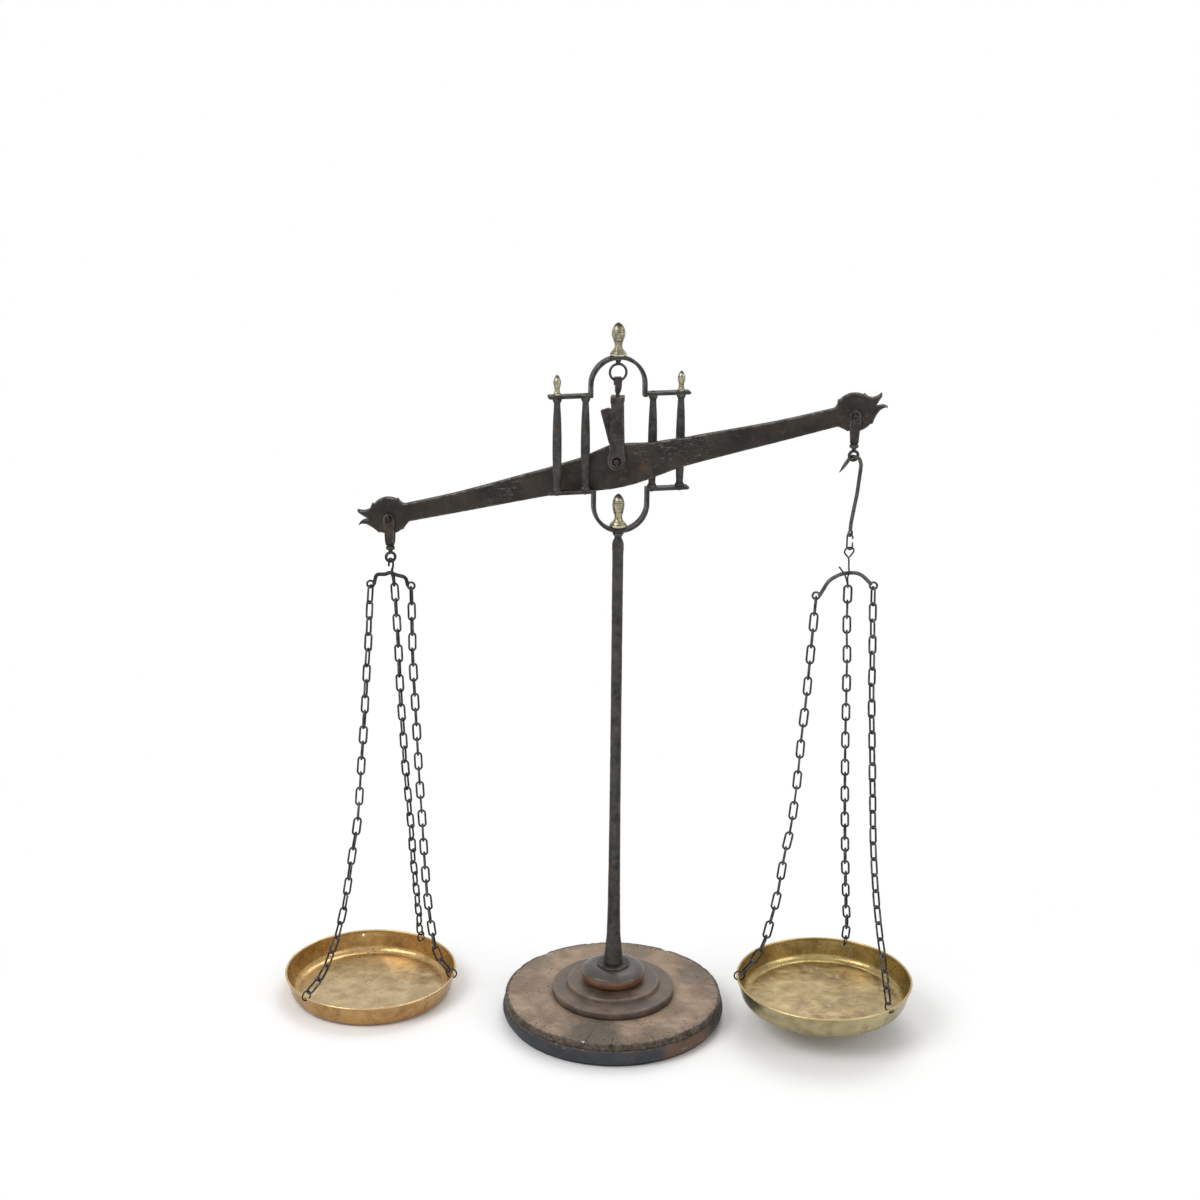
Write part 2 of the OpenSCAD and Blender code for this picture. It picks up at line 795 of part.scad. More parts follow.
module bow_left() {
    z = left_bow_z;
    lo = ring_over(left_outer_start, small_ring_r, small_ring_wire);
    ro = ring_over(left_inner_start, small_ring_r, small_ring_wire);
    color(iron) {
        bent([
            lo + [small_ring_r + 0.1, 0, 0.8], [-265.5, 0, z - 1.8],
            [-255.5, 0, z - 1.6], [-249.9, 0, z + 1], [-244.5, 0, z - 1.6],
            [-232.6, 0, z - 4.2], ro + [-small_ring_r - 0.1, 0, 0.8]
        ], [0, 4.5, 6, 4, 8, 6, 0], bow_wire);
        bow_end_rings(lo, ro);
    }
}

module bow_end_rings(a, b) {
    for (q = [a, b]) {
        translate(q) rotate([90, 0, 0]) ring(small_ring_r, small_ring_wire);
    }
}

// Where the last link hangs in a pan's wire ring
function ring_place(pan, a) = pan + [ring_in * cos(a), ring_in * sin(a), pan_h];
function ring_joint(pan, a, lift) = ring_place(pan, a)
    + (ring_r - ring_wire / 2 - touch)
    * [-cos(a) * cos(lift), -sin(a) * cos(lift), sin(lift)];

function lengths(q) = [
    for (i = 0, s = 0; i < len(q); s = s + norm(q[min(i + 1, len(q) - 1)] - q[i]),
        i = i + 1) s
];
function along(q, s, t) = [
    for (a = [0:2]) lookup(t, [for (i = [0:len(q) - 1]) [s[i], q[i][a]]])
];

// One closed link between two joints of the chain
module link(p, q, roll) {
    d = q - p;
    far = norm(d);
    r = (link_w - chain_wire) / 2;
    s = far + chain_gap + 2 * chain_wire - link_w;
    az = atan2(d[1], d[0]);
    lap = 0.03;
    translate((p + q) / 2) rotate([0, -acos(-d[2] / far), az])
        rotate([0, 0, roll - az]) for (k = [0, 1]) {
            rotate([0, 180 * k, 0]) translate([0, 0, s / 2]) rotate([90, 0, 0])
                rotate_extrude(angle = 180) translate([r, 0]) circle(d = chain_wire);
            translate([r * (2 * k - 1), 0, -s / 2 - lap])
                cylinder(h = s + 2 * lap, d = chain_wire + 0.04);
        }
}

// Links along a route; each turns a quarter and a little more than the last
module chain(route, n, roll, drift) {
    q = curve(route, 6);
    s = lengths(q);
    pitch = s[len(s) - 1] / n;
    color(iron) for (k = [0:n - 1]) {
        link(along(q, s, k * pitch), along(q, s, (k + 1) * pitch),
            roll + k * (90 + drift));
    }
}

module chain_left_front() {
    chain([
        left_outer_start, [-274, -1, 482], [-276, -2, 445], [-279, -3, 405],
        [-283, -4, 349], [-286, -6, 312], [-292, -10, 235], [-298, -12, 200],
        [-307, -18, 140], [-315, -22, 103], [-320, -24, 86], [-326, -27, 68],
        [-333, -30, 51], [-341, -36, 38],
        ring_joint(left_pan, left_front_a, 40)
    ], 27, 60, 3.1);
}

module chain_left_back() {
    chain([
        left_start, [-244, 6, 448], [-244, 10, 413], [-244, 14, 378],
        [-243, 21, 326], [-243, 28, 290], [-242, 35, 256], [-241, 50, 195],
        [-242, 61, 160], [-242, 77, 116], [-243, 101, 60],
        ring_joint(left_pan, left_back_a, 65)
    ], 27, 0, -1.08);
}

module chain_left_inner() {
    chain([
        left_inner_start, [-227, 1, 464], [-227, 1, 427], [-225, 3, 356],
        [-223, 5, 284], [-221, 8, 229], [-220, 9, 195], [-218, 13, 137],
        [-215, 16, 100], [-211, 20, 65], [-205, 23, 45],
        ring_joint(left_pan, left_inner_a, 52)
    ], 27, 115, -1.07);
}

module pan(wall, holes) {
    r = pan_d / 2;
    base_r = r - 12;
    fillet = 5;
    difference() {
        rotate_extrude($fn = 128) {
            polygon(concat(
                [[0, 0], [base_r, 0]],
                arc([base_r, fillet], fillet, -80, -12, 6),
                [[r - 1.6, pan_h - 1.6], [r - 1.6 - wall, pan_h - 1.6]],
                arc([base_r, fillet], fillet - wall, -12, -90, 6),
                [[0, wall]]
            ));
            translate([r - rim_r, pan_h - rim_r]) circle(r = rim_r, $fn = 32);
        }
        for (a = holes) {
            rotate([0, 0, a]) translate([r - 12, 0, pan_h - hole_in])
                rotate([0, 90, 0]) cylinder(h = 20, d = hole_d);
        }
    }
}

module pan_left() {
    color(brass) translate(left_pan)
        pan(pan_wall_left, [left_front_a, left_back_a, left_inner_a, spare_a]);
}

module pan_right() {
    color(brass) translate(right_pan)
        pan(pan_wall_right, [right_outer_a, right_back_a, right_inner_a]);
}

// Wire ring through the wall; an open one ends in a straight tail
module pan_ring(pan, a, from, turn, tail) {
    color(iron) translate(ring_place(pan, a)) rotate([0, 0, a]) rotate([90, 0, 0]) {
        rotate([0, 0, from]) rotate_extrude(angle = turn)
            translate([ring_r, 0]) circle(d = ring_wire);
        if (tail > 0) {
            rotate([0, 0, from]) translate([ring_r, 0, 0]) rotate([90, 0, 0])
                cylinder(h = tail, d = ring_wire);
        }
    }
}

module ring_left_front() {
    pan_ring(left_pan, left_front_a, 0, 360, 0);
}

module ring_left_back() {
    pan_ring(left_pan, left_back_a, 0, 360, 0);
}

module ring_left_inner() {
    pan_ring(left_pan, left_inner_a, 190, 285, 5);
}

module ring_right_outer() {
    pan_ring(right_pan, right_outer_a, 60, 300, 0);
}

module ring_right_back() {
    pan_ring(right_pan, right_back_a, 0, 360, 0);
}

module ring_right_inner() {
    pan_ring(right_pan, right_inner_a, 195, 290, 4);
}

// Long pointed hook with a small eye at its lower end
module hook_right() {
    line = turned_flat(long_top, hook_turn, [
        [-19.4, -20.9], [-11.4, -10.45], [-3.4, 0], [8.4, 0.2], [11.2, -7],
        [7.4, -38], [0.6, -72], [0, -79.6]
    ]);
    color(iron) {
        bent([for (k = [1:7]) line[k]], [0, 5, 5, 8, 60, 30, 0], long_wire);
        taper([line[1], line[0]], long_wire, 1.2);
        translate([long_top[0], 0, long_eye_z]) rotate([90, 0, long_eye_turn])
            ring(long_eye_r, long_eye_wire);
    }
}

module taper(p, d1, d2) {
    s = p[1] - p[0];
    translate(p[0]) heading(s / norm(s)) cylinder(h = norm(s), d1 = d1, d2 = d2);
}

// Worn link, open at one side
module link_right() {
    r = (open_w - open_wire) / 2;
    s = open_len - open_w;
    color(iron) translate([long_top[0], 0, open_top - open_len / 2])
        rotate([0, 0, open_turn]) {
            for (k = [0, 1]) {
                rotate([0, 180 * k, 0]) translate([0, 0, s / 2]) rotate([90, 0, 0])
                    rotate_extrude(angle = 180) translate([r, 0]) circle(d = open_wire);
            }
            translate([-r, 0, -s / 2]) cylinder(h = s, d = open_wire);
            translate([r, 0, -s / 2]) cylinder(h = s * 0.5, d1 = open_wire, d2 = 1.5);
            translate([r, 0, s / 2 - 1.6]) cylinder(h = 1.6, d1 = 1.5, d2 = open_wire);
        }
}

// Bent wire: an open heart-shaped eye, a shank, and a narrow hook
module wire_hook_right() {
    top = [long_top[0] - 0.2, 0, heart_top];
    spread = (bow_wire + hook_wire) / 2 + 0.2;
    u = 2.2;
    color(iron) bent(concat(
        turned_flat(top, heart_turn, [
            [1.2, -10], [6.2, -4.4], [3.8, 0], [-3.8, 0], [-6, -5], [0, -12]
        ]),
        [for (q = [
            [0.3, -0.8, -20], [0.8, -spread, -27], [-0.6, -spread + 0.1, -33],
            [0.4, -u - 0.1, -hook_len], [0.4, u + 0.1, -hook_len], [-1.5, 2.4, -36],
            [-4, spread, -30.5], [-9.4, spread + 0.6, -23.6]
        ]) top + q]
    ), [0, 3, 3.6, 3.6, 3, 3, 12, 8, 8, u, u, 12, 8, 0], hook_wire);
}

module bow_right() {
    z = right_bow_z;
    lo = ring_over(right_inner_start, small_ring_r, small_ring_wire);
    ro = ring_over(right_outer_start, small_ring_r, small_ring_wire);
    color(iron) {
        bent([
            lo + [small_ring_r, 0, 0.5], [228.5, 0, z - 8.9],
            [242, 0, z - 0.6], [261, 0, z + 1], ro + [-small_ring_r + 0.6, 0, 2.4]
        ], [0, 22, 30, 18, 0], bow_wire);
        bow_end_rings(lo, ro);
    }
}

module chain_right_inner() {
    chain([
        right_inner_start, [214, 0, 488], [212, -1, 450], [209, -1, 394],
        [206, -2, 357], [203, -3, 302], [198, -4, 246], [192, -5, 212],
        [185, -8, 158], [181, -8, 140], [174, -9, 108], [167, -9, 90],
        [159, -8, 76], ring_joint(right_pan, right_inner_a, 48)
    ], 25, 80, 0.58);
}

module chain_right_back() {
    chain([
        right_start, [250, 3, 483], [252, 6, 447], [253, 10, 413],
        [254, 13, 377], [255, 18, 341], [258, 30, 268], [262, 48, 194],
        [267, 72, 119], [270, 85, 85],
        ring_joint(right_pan, right_back_a, 72)
    ], 27, 0, -0.6);
}

module chain_right_outer() {
    chain([
        right_outer_start, [277, -1, 504], [279, -4, 448], [280, -6, 409],
        [283, -10, 352], [287, -18, 277], [289, -23, 239], [292, -29, 203],
        [296, -37, 167], [301, -46, 133], [305, -53, 111], [309, -60, 84],
        ring_joint(right_pan, right_outer_a, 70)
    ], 26, 115, 0.88);
}

base_disc();
base_step();
base_bun();
post_washer();
post();
base_nut();
base_plug();
lower_yoke();
pillar_left_outer();
pillar_left_inner();
pillar_right_inner();
pillar_right_outer();
upper_arch();
top_finial();
eye_bolt();
finial_left();
finial_right();
lower_finial();
stirrup_hook();
stirrup();
beam();
tongue();
center_knife();
knife_left();
knife_right();
shackle_left();
shackle_right();
hook_left();
bow_left();
chain_left_front();
chain_left_back();
chain_left_inner();
pan_left();
ring_left_front();
ring_left_back();
ring_left_inner();
hook_right();
link_right();
wire_hook_right();
bow_right();
chain_right_outer();
chain_right_back();
chain_right_inner();
pan_right();
ring_right_outer();
ring_right_back();
ring_right_inner();
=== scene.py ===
"""Antique balance scale: a turned wooden foot, an iron column with a forged yoke, a flat iron
beam on knife edges, and two brass pans on iron chains. The left pan stands on the table."""

import json
import math
import random

import bmesh
import bpy
import numpy as np
from mathutils import Matrix, Vector, noise

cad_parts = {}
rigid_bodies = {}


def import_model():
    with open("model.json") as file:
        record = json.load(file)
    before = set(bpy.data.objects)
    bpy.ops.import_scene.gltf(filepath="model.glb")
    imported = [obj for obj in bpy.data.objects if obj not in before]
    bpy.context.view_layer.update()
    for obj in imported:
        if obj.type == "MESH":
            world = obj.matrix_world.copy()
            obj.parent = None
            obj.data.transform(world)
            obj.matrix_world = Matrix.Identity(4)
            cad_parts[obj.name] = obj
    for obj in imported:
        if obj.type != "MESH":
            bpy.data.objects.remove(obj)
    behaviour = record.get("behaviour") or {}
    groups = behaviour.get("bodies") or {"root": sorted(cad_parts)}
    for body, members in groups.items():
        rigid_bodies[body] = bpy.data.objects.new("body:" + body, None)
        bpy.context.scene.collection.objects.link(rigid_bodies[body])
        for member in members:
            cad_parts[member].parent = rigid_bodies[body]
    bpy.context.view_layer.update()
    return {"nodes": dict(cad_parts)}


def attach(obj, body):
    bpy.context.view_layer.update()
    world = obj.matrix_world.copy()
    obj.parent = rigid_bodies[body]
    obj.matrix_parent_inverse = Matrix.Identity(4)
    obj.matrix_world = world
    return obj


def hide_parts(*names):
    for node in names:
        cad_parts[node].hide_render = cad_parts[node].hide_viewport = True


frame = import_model()
mm = 0.001

# Viewpoint: a little above the pans and slightly left of straight on, through a long lens.
turn, pitch, roll = (math.radians(a) for a in (4.5, 17.81, 0.49))
ahead = Vector((
    -math.sin(turn) * math.cos(pitch), math.cos(turn) * math.cos(pitch), -math.sin(pitch)))
level = Vector((math.cos(turn), math.sin(turn), 0))
right = level * math.cos(roll) + level.cross(ahead) * math.sin(roll)
above = right.cross(ahead)
lens = bpy.data.cameras.new("viewpoint")
lens.lens = 63.54
lens.sensor_width = 36
lens.clip_end = 200
viewpoint = bpy.data.objects.new("viewpoint", lens)
viewpoint.matrix_world = Matrix.Translation((0.1538, -2.1947, 1.211)) @ Matrix(
    (right, above, -ahead)).transposed().to_4x4()
bpy.context.scene.collection.objects.link(viewpoint)
bpy.context.scene.camera = viewpoint
bpy.context.scene.view_settings.view_transform = "Standard"


# Table and light: a white sweep that keeps the scale's shadow near its foot, a large soft
# window to the upper left, and two weaker ones, on the right and above from behind.
class Finish:
    """A material whose nodes are added one call at a time; each call gives an output socket."""

    def __init__(self, name):
        self.material = bpy.data.materials.new(name)
        self.material.use_nodes = True
        self.tree = self.material.node_tree
        self.shader = self.tree.nodes["Principled BSDF"]
        self.out = self.tree.nodes["Material Output"]
        self.where = self.node("ShaderNodeTexCoord").outputs["Object"]

    def node(self, kind, inputs=(), **settings):
        n = self.tree.nodes.new(kind)
        for key, value in settings.items():
            setattr(n, key, value)
        for key, value in dict(inputs).items():
            if isinstance(value, bpy.types.NodeSocket):
                self.tree.links.new(value, n.inputs[key])
            else:
                n.inputs[key].default_value = value
        return n

    def noise(self, size, detail=5, rough=0.6, stretch=(1, 1, 1), shift=0, warp=0):
        """Soft cloudy value whose patches are about size millimetres across."""
        place = self.node("ShaderNodeMapping", {
            "Vector": self.where, "Location": (shift, shift, shift), "Scale": stretch})
        return self.node("ShaderNodeTexNoise", {
            "Vector": place.outputs[0], "Scale": 1000 / size, "Detail": detail,
            "Roughness": rough, "Distortion": warp}).outputs[0]

    def cells(self, size, shift=0):
        """Distance from the middle of cells that are about size millimetres across, for specks."""
        place = self.node("ShaderNodeMapping", {
            "Vector": self.where, "Location": (shift, shift, shift)})
        return self.node("ShaderNodeTexVoronoi", {
            "Vector": place.outputs[0], "Scale": 1000 / size}).outputs["Distance"]

    def band(self, value, low, high, a=0.0, b=1.0):
        """Goes smoothly from a to b as value goes from low to high."""
        return self.node("ShaderNodeMapRange", {
            "Value": value, "From Min": low, "From Max": high, "To Min": a, "To Max": b},
            interpolation_type="SMOOTHSTEP").outputs[0]

    def math(self, kind, a, b=0.0):
        return self.node("ShaderNodeMath", {0: a, 1: b}, operation=kind).outputs[0]

    def times(self, a, b):
        return self.math("MULTIPLY", a, b)

    def ragged(self, value, size, reach, detail=5, rough=0.7, shift=0):
        """A measure made cloudy by up to half of reach millimetres either way."""
        loose = self.math("SUBTRACT", self.noise(size, detail, rough, shift=shift), 0.5)
        return self.math("ADD", value, self.times(loose, reach * mm))

    def mix(self, share, a, b):
        """Colour a where share is 0, colour b where it is 1."""
        n = self.node("ShaderNodeMix", data_type="RGBA")
        for k, value in ((0, share), (6, a), (7, b)):
            if isinstance(value, bpy.types.NodeSocket):
                self.tree.links.new(value, n.inputs[k])
            elif k:
                n.inputs[k].default_value = (*value, 1)
            else:
                n.inputs[k].default_value = value
        return n.outputs[2]

    def mark(self, name):
        """A value that the mesh holds at each point."""
        return self.node("ShaderNodeAttribute", attribute_name=name).outputs["Fac"]

    def height(self):
        return self.node("ShaderNodeSeparateXYZ", {"Vector": self.where}).outputs[2]

    def near(self, place, radius, fuzz):
        """1 about a place given in millimetres, with a cloudy border."""
        away = self.node("ShaderNodeVectorMath", {0: self.where, 1: tuple(c * mm for c in place)},
            operation="DISTANCE").outputs["Value"]
        away = self.ragged(away, fuzz, fuzz * 2.2, detail=6)
        return self.band(away, radius * 0.6 * mm, radius * 1.2 * mm, 1, 0)

    def surface(self, colour, rough, relief, depth, metal=0.0, **plain):
        """Links colour, roughness and relief; depth is in millimetres."""
        self.tree.links.new(colour, self.shader.inputs["Base Color"])
        self.tree.links.new(rough, self.shader.inputs["Roughness"])
        bump = self.node("ShaderNodeBump", {
            "Height": relief, "Strength": 1.0, "Distance": depth * mm})
        self.tree.links.new(bump.outputs[0], self.shader.inputs["Normal"])
        if isinstance(metal, bpy.types.NodeSocket):
            self.tree.links.new(metal, self.shader.inputs["Metallic"])
        else:
            self.shader.inputs["Metallic"].default_value = metal
        for key, value in plain.items():
            self.shader.inputs[key.replace("_", " ")].default_value = value
        return self.material


def new_object(name, mesh, *materials):
    """An object for a mesh, standing at the origin of the frame."""
    piece = bpy.data.objects.new(name, mesh)
    bpy.context.scene.collection.objects.link(piece)
    for m in materials:
        mesh.materials.append(m)
    return piece


sweep = Finish("white_sweep")
spot = sweep.node("ShaderNodeVectorMath", {0: sweep.where}, operation="LENGTH").outputs["Value"]
seen = sweep.node("ShaderNodeLightPath")
bright = sweep.math("MAXIMUM", sweep.math("MAXIMUM", seen.outputs["Is Camera Ray"],
    seen.outputs["Is Glossy Ray"]), seen.outputs["Is Transmission Ray"])
far = sweep.times(sweep.band(spot, 0.35, 0.75), bright)
glow = sweep.node("ShaderNodeEmission", {"Color": (1, 1, 1, 1), "Strength": 1.0})
cloth = sweep.node("ShaderNodeBsdfDiffuse", {"Color": (0.93, 0.93, 0.93, 1)})
both = sweep.node("ShaderNodeMixShader", {0: far, 1: cloth.outputs[0], 2: glow.outputs[0]})
sweep.tree.links.new(both.outputs[0], sweep.out.inputs["Surface"])
sweep.tree.nodes.remove(sweep.shader)
sweep_r = 45
sheet = bmesh.new()
bmesh.ops.create_circle(sheet, cap_ends=True, segments=64, radius=sweep_r,
    matrix=Matrix.Translation((0, 0, -0.1 * mm)))
table_mesh = bpy.data.meshes.new("table")
sheet.to_mesh(table_mesh)
table = new_object("table", table_mesh, sweep.material)

sky = bpy.data.worlds.new("studio")
bpy.context.scene.world = sky
sky.use_nodes = True
tree = sky.node_tree
tree.nodes.clear()
path = tree.nodes.new("ShaderNodeLightPath")
white = tree.nodes.new("ShaderNodeMath")
white.operation = "MAXIMUM"
tree.links.new(path.outputs["Is Camera Ray"], white.inputs[0])
tree.links.new(path.outputs["Is Glossy Ray"], white.inputs[1])
clear = tree.nodes.new("ShaderNodeMath")
clear.operation = "MAXIMUM"
tree.links.new(white.outputs[0], clear.inputs[0])
tree.links.new(path.outputs["Is Transmission Ray"], clear.inputs[1])
on_scale, on_view = 0.62, 1.0
strength = tree.nodes.new("ShaderNodeMapRange")
strength.inputs["To Min"].default_value = on_scale
strength.inputs["To Max"].default_value = on_view
tree.links.new(clear.outputs[0], strength.inputs["Value"])
backdrop = tree.nodes.new("ShaderNodeBackground")
tree.links.new(strength.outputs[0], backdrop.inputs["Strength"])
backdrop.inputs["Color"].default_value = (1, 1, 1, 1)
world_out = tree.nodes.new("ShaderNodeOutputWorld")
tree.links.new(backdrop.outputs[0], world_out.inputs[0])

for name, place, size, power in (
    ("window", (-1.5, -1.3, 2.3), 1.5, 34), ("right_light", (2.0, -1.0, 1.3), 1.2, 9),
    ("top_light", (0.3, 1.2, 2.2), 1.4, 16),
):
    lamp = bpy.data.lights.new(name, "AREA")
    lamp.size = size
    lamp.energy = power
    light = bpy.data.objects.new(name, lamp)
    light.location = place
    to_middle = Vector((0, 0, 0.4)) - Vector(place)
    light.rotation_euler = to_middle.to_track_quat("-Z", "Y").to_euler()
    bpy.context.scene.collection.objects.link(light)


# Wooden disc: a thick round of soft wood, turned, painted dark on its edge. The top is worn
# bare and pinkish, worms have eaten it, and the upper edge has crumbled away in places.
def settle(piece):
    """Makes a piece's modifiers part of its mesh."""
    ready = piece.evaluated_get(bpy.context.evaluated_depsgraph_get())
    mesh = bpy.data.meshes.new_from_object(ready)
    piece.modifiers.clear()
    piece.data = mesh
    return mesh


def points_of(mesh):
    co = np.empty(len(mesh.vertices) * 3)
    mesh.vertices.foreach_get("co", co)
    return co.reshape(-1, 3)


def move_points(mesh, shape):
    """Moves each point of a mesh to shape(point, normal)."""
    normal = np.empty(len(mesh.vertices) * 3)
    mesh.vertices.foreach_get("normal", normal)
    moved = [shape(Vector(p), Vector(n)) for p, n in zip(points_of(mesh), normal.reshape(-1, 3))]
    mesh.vertices.foreach_set("co", np.array(moved).ravel())
    mesh.update()


def cloud(p, size, seed):
    """Smooth noise from -1 to 1 whose bumps are about size millimetres across."""
    return noise.noise(p / (size * mm) + Vector((seed, seed * 1.7, -seed)))


def clamp(x):
    return max(0.0, min(1.0, x))


def mark_points(mesh, **marks):
    """Stores a value from 0 to 1 at each point, under a name that a finish can read."""
    for name, values in marks.items():
        mesh.attributes.new(name, "FLOAT", "POINT").data.foreach_set("value", values)


def mark_edges(mesh):
    """Stores how proud and how sunk each point is, from 0 to 1, for wear and for dirt."""
    rounds, gain = 2, 6.4
    co = points_of(mesh)
    n = len(co)
    pairs = np.empty(len(mesh.edges) * 2, dtype=np.int64)
    mesh.edges.foreach_get("vertices", pairs)
    a, b = pairs.reshape(-1, 2).T
    normal = np.empty(n * 3)
    mesh.vertices.foreach_get("normal", normal)
    count = np.bincount(a, minlength=n) + np.bincount(b, minlength=n)

    def around(values):
        total = np.zeros_like(values)
        np.add.at(total, a, values[b])
        np.add.at(total, b, values[a])
        return total / np.maximum(count, 1).reshape(-1, *[1] * (values.ndim - 1))

    away = co - around(co)
    reach = np.linalg.norm(co[a] - co[b], axis=1).mean()
    proud = (away * normal.reshape(-1, 3)).sum(axis=1) / reach
    for _ in range(rounds):
        proud = 0.5 * proud + 0.5 * around(proud)
    mark_points(mesh, proud=np.clip(proud * gain, 0, 1).astype(np.float32),
        sunk=np.clip(-proud * gain, 0, 1).astype(np.float32))


def dress(mesh, material):
    """Gives a mesh one finish all over, smoothly shaded."""
    mesh.shade_smooth()
    mesh.materials.clear()
    mesh.materials.append(material)


def fine(outline, step):
    """The outline with points no more than step millimetres apart."""
    full = [outline[0]]
    for (r0, z0), (r1, z1) in zip(outline, outline[1:]):
        n = max(1, math.ceil(math.hypot(r1 - r0, z1 - z0) / step))
        full += [(r0 + (r1 - r0) * k / n, z0 + (z1 - z0) * k / n) for k in range(1, n + 1)]
    return full


def arc(r, z, radius, start, end, n):
    """Part of a circle about radius r and height z, between two angles."""
    return [(r + radius * math.cos(math.radians(start + (end - start) * k / n)),
             z + radius * math.sin(math.radians(start + (end - start) * k / n)))
            for k in range(n + 1)]


def turned(name, outline, around, centre=(0, 0)):
    """Solid of revolution from radius and height in millimetres, axis to axis."""
    bm = bmesh.new()
    rings = []
    for r, z in outline:
        if r < 1e-6:
            rings.append([bm.verts.new((centre[0] * mm, centre[1] * mm, z * mm))])
        else:
            rings.append([bm.verts.new((
                (centre[0] + r * math.cos(2 * math.pi * k / around)) * mm,
                (centre[1] + r * math.sin(2 * math.pi * k / around)) * mm, z * mm))
                for k in range(around)])
    for low, high in zip(rings, rings[1:]):
        for k in range(around):
            j = (k + 1) % around
            corner = [
                low[k % len(low)], low[j % len(low)], high[j % len(high)], high[k % len(high)]]
            bm.faces.new(list(dict.fromkeys(corner)))
    bmesh.ops.recalc_face_normals(bm, faces=bm.faces)
    mesh = bpy.data.meshes.new(name)
    bm.to_mesh(mesh)
    mesh.shade_smooth()
    return mesh


def carve(piece, name, tool):
    """Cuts the closed shapes of a tool out of a piece."""
    bmesh.ops.recalc_face_normals(tool, faces=tool.faces)
    mesh = bpy.data.meshes.new(name)
    tool.to_mesh(mesh)
    cutter = new_object(name, mesh)
    cut = piece.modifiers.new(name, "BOOLEAN")
    cut.object = cutter
    cut.solver = "EXACT"
    settle(piece)
    bpy.data.objects.remove(cutter)


def put(piece, body, node):
    """Fixes a finished piece to its body and lets it stand for its CAD node."""
    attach(piece, body)
    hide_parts(node)


disc_r, disc_h, moulding = 127.5, 28, 19
worn_wood = Finish("worn_foot_wood")
flat_place = worn_wood.node("ShaderNodeMapping", {"Vector": worn_wood.where, "Scale": (1, 1, 0)})
radius = worn_wood.node("ShaderNodeVectorMath", {0: flat_place.outputs[0]},
    operation="LENGTH").outputs["Value"]
grain = worn_wood.noise(9, 6, 0.65, (0.12, 1, 0.6))
patch = worn_wood.noise(60, 6, 0.66, shift=3)
dusk = worn_wood.noise(34, 7, 0.72, shift=9, warp=0.5)
pale = worn_wood.noise(3.5, 4, 0.7)
top = worn_wood.mix(worn_wood.band(patch, 0.38, 0.6), (0.2, 0.142, 0.098), (0.36, 0.262, 0.178))
top = worn_wood.mix(worn_wood.band(dusk, 0.53, 0.68, 0, 0.7), top, (0.16, 0.13, 0.1))
top = worn_wood.mix(worn_wood.band(grain, 0.35, 0.72, 0, 0.45), top, (0.2, 0.125, 0.085))
top = worn_wood.mix(worn_wood.band(pale, 0.58, 0.75, 0, 0.5), top, (0.46, 0.38, 0.29))
for place, reach, share in (
    ((-14, -100, disc_h), 36, 0.85), ((100, 52, disc_h), 34, 0.6), ((60, -95, disc_h), 24, 0.45),
    ((10, 100, disc_h), 30, 0.35), ((-95, 62, disc_h), 22, 0.4),
):
    stained = worn_wood.times(worn_wood.near(place, reach, 18), share)
    top = worn_wood.mix(stained, top, (0.085, 0.075, 0.055))
flecks = worn_wood.times(worn_wood.band(worn_wood.cells(4.6, shift=2), 0.16, 0.25, 1, 0),
    worn_wood.band(worn_wood.noise(22, 5, 0.7, shift=5), 0.48, 0.58))
top = worn_wood.mix(worn_wood.times(flecks, 0.85), top, (0.035, 0.026, 0.018))
# Painted shade: near-black dots stand for the shade inside small worm holes, and the same dots are
# sunk in the relief.
holes = worn_wood.times(worn_wood.band(worn_wood.cells(6.5), 0.09, 0.14, 1, 0),
    worn_wood.band(worn_wood.noise(26, 3, 0.5, shift=5), 0.55, 0.64))
top = worn_wood.mix(holes, top, (0.012, 0.009, 0.007))
ring_wear = worn_wood.times(worn_wood.band(radius, 108 * mm, 121 * mm),
    worn_wood.band(worn_wood.noise(6, 6, 0.75, shift=12), 0.42, 0.6))
top = worn_wood.mix(worn_wood.times(ring_wear, 0.6), top, (0.1, 0.08, 0.06))
nick = worn_wood.near((-24.6, -119.5, 27), 3.2, 4)
top = worn_wood.mix(nick, top, (0.52, 0.52, 0.48))

blue_cloud = worn_wood.noise(14, 5, 0.7, (0.4, 0.4, 1))
brown_cloud = worn_wood.noise(30, 4, 0.6, shift=7)
rubbed_through = worn_wood.near((95, -84, 12), 42, 22)
scuffs = worn_wood.noise(5, 3, 0.6, (0.2, 0.2, 2), 2)
blue = worn_wood.mix(blue_cloud, (0.01, 0.012, 0.016), (0.042, 0.047, 0.054))
blue = worn_wood.mix(worn_wood.band(brown_cloud, 0.56, 0.68), blue, (0.06, 0.04, 0.033))
blue = worn_wood.mix(worn_wood.times(rubbed_through, 0.8), blue, (0.12, 0.062, 0.036))
blue = worn_wood.mix(worn_wood.band(scuffs, 0.65, 0.72, 0, 0.75), blue, (0.24, 0.25, 0.26))

eaten = worn_wood.mix(worn_wood.band(worn_wood.noise(4, 7, 0.8), 0.35, 0.65),
    (0.012, 0.01, 0.008), (0.12, 0.09, 0.06))
level_z = worn_wood.ragged(worn_wood.height(), 12, 7, shift=4)
side = worn_wood.mix(worn_wood.band(level_z, 18.2 * mm, 19.8 * mm), blue, eaten)
lip = worn_wood.ragged(radius, 7, 9, detail=6, rough=0.75, shift=1)
# Below the top, the dark side colour also fills the insides of the bored worm holes and cracks, as
# painted shade in them.
on_top = worn_wood.times(worn_wood.band(lip, 120.6 * mm, 122 * mm, 1, 0),
    worn_wood.band(worn_wood.height(), 25.6 * mm, 26.7 * mm))
pores = worn_wood.math("SUBTRACT", worn_wood.noise(2.2, 5, 0.7, (0.3, 1, 1)),
    worn_wood.times(holes, 2.0))
worn_wood.surface(worn_wood.mix(on_top, side, top),
    worn_wood.band(worn_wood.noise(20, 4), 0.3, 0.7, 0.5, 0.78), pores, 0.5, IOR=1.45)

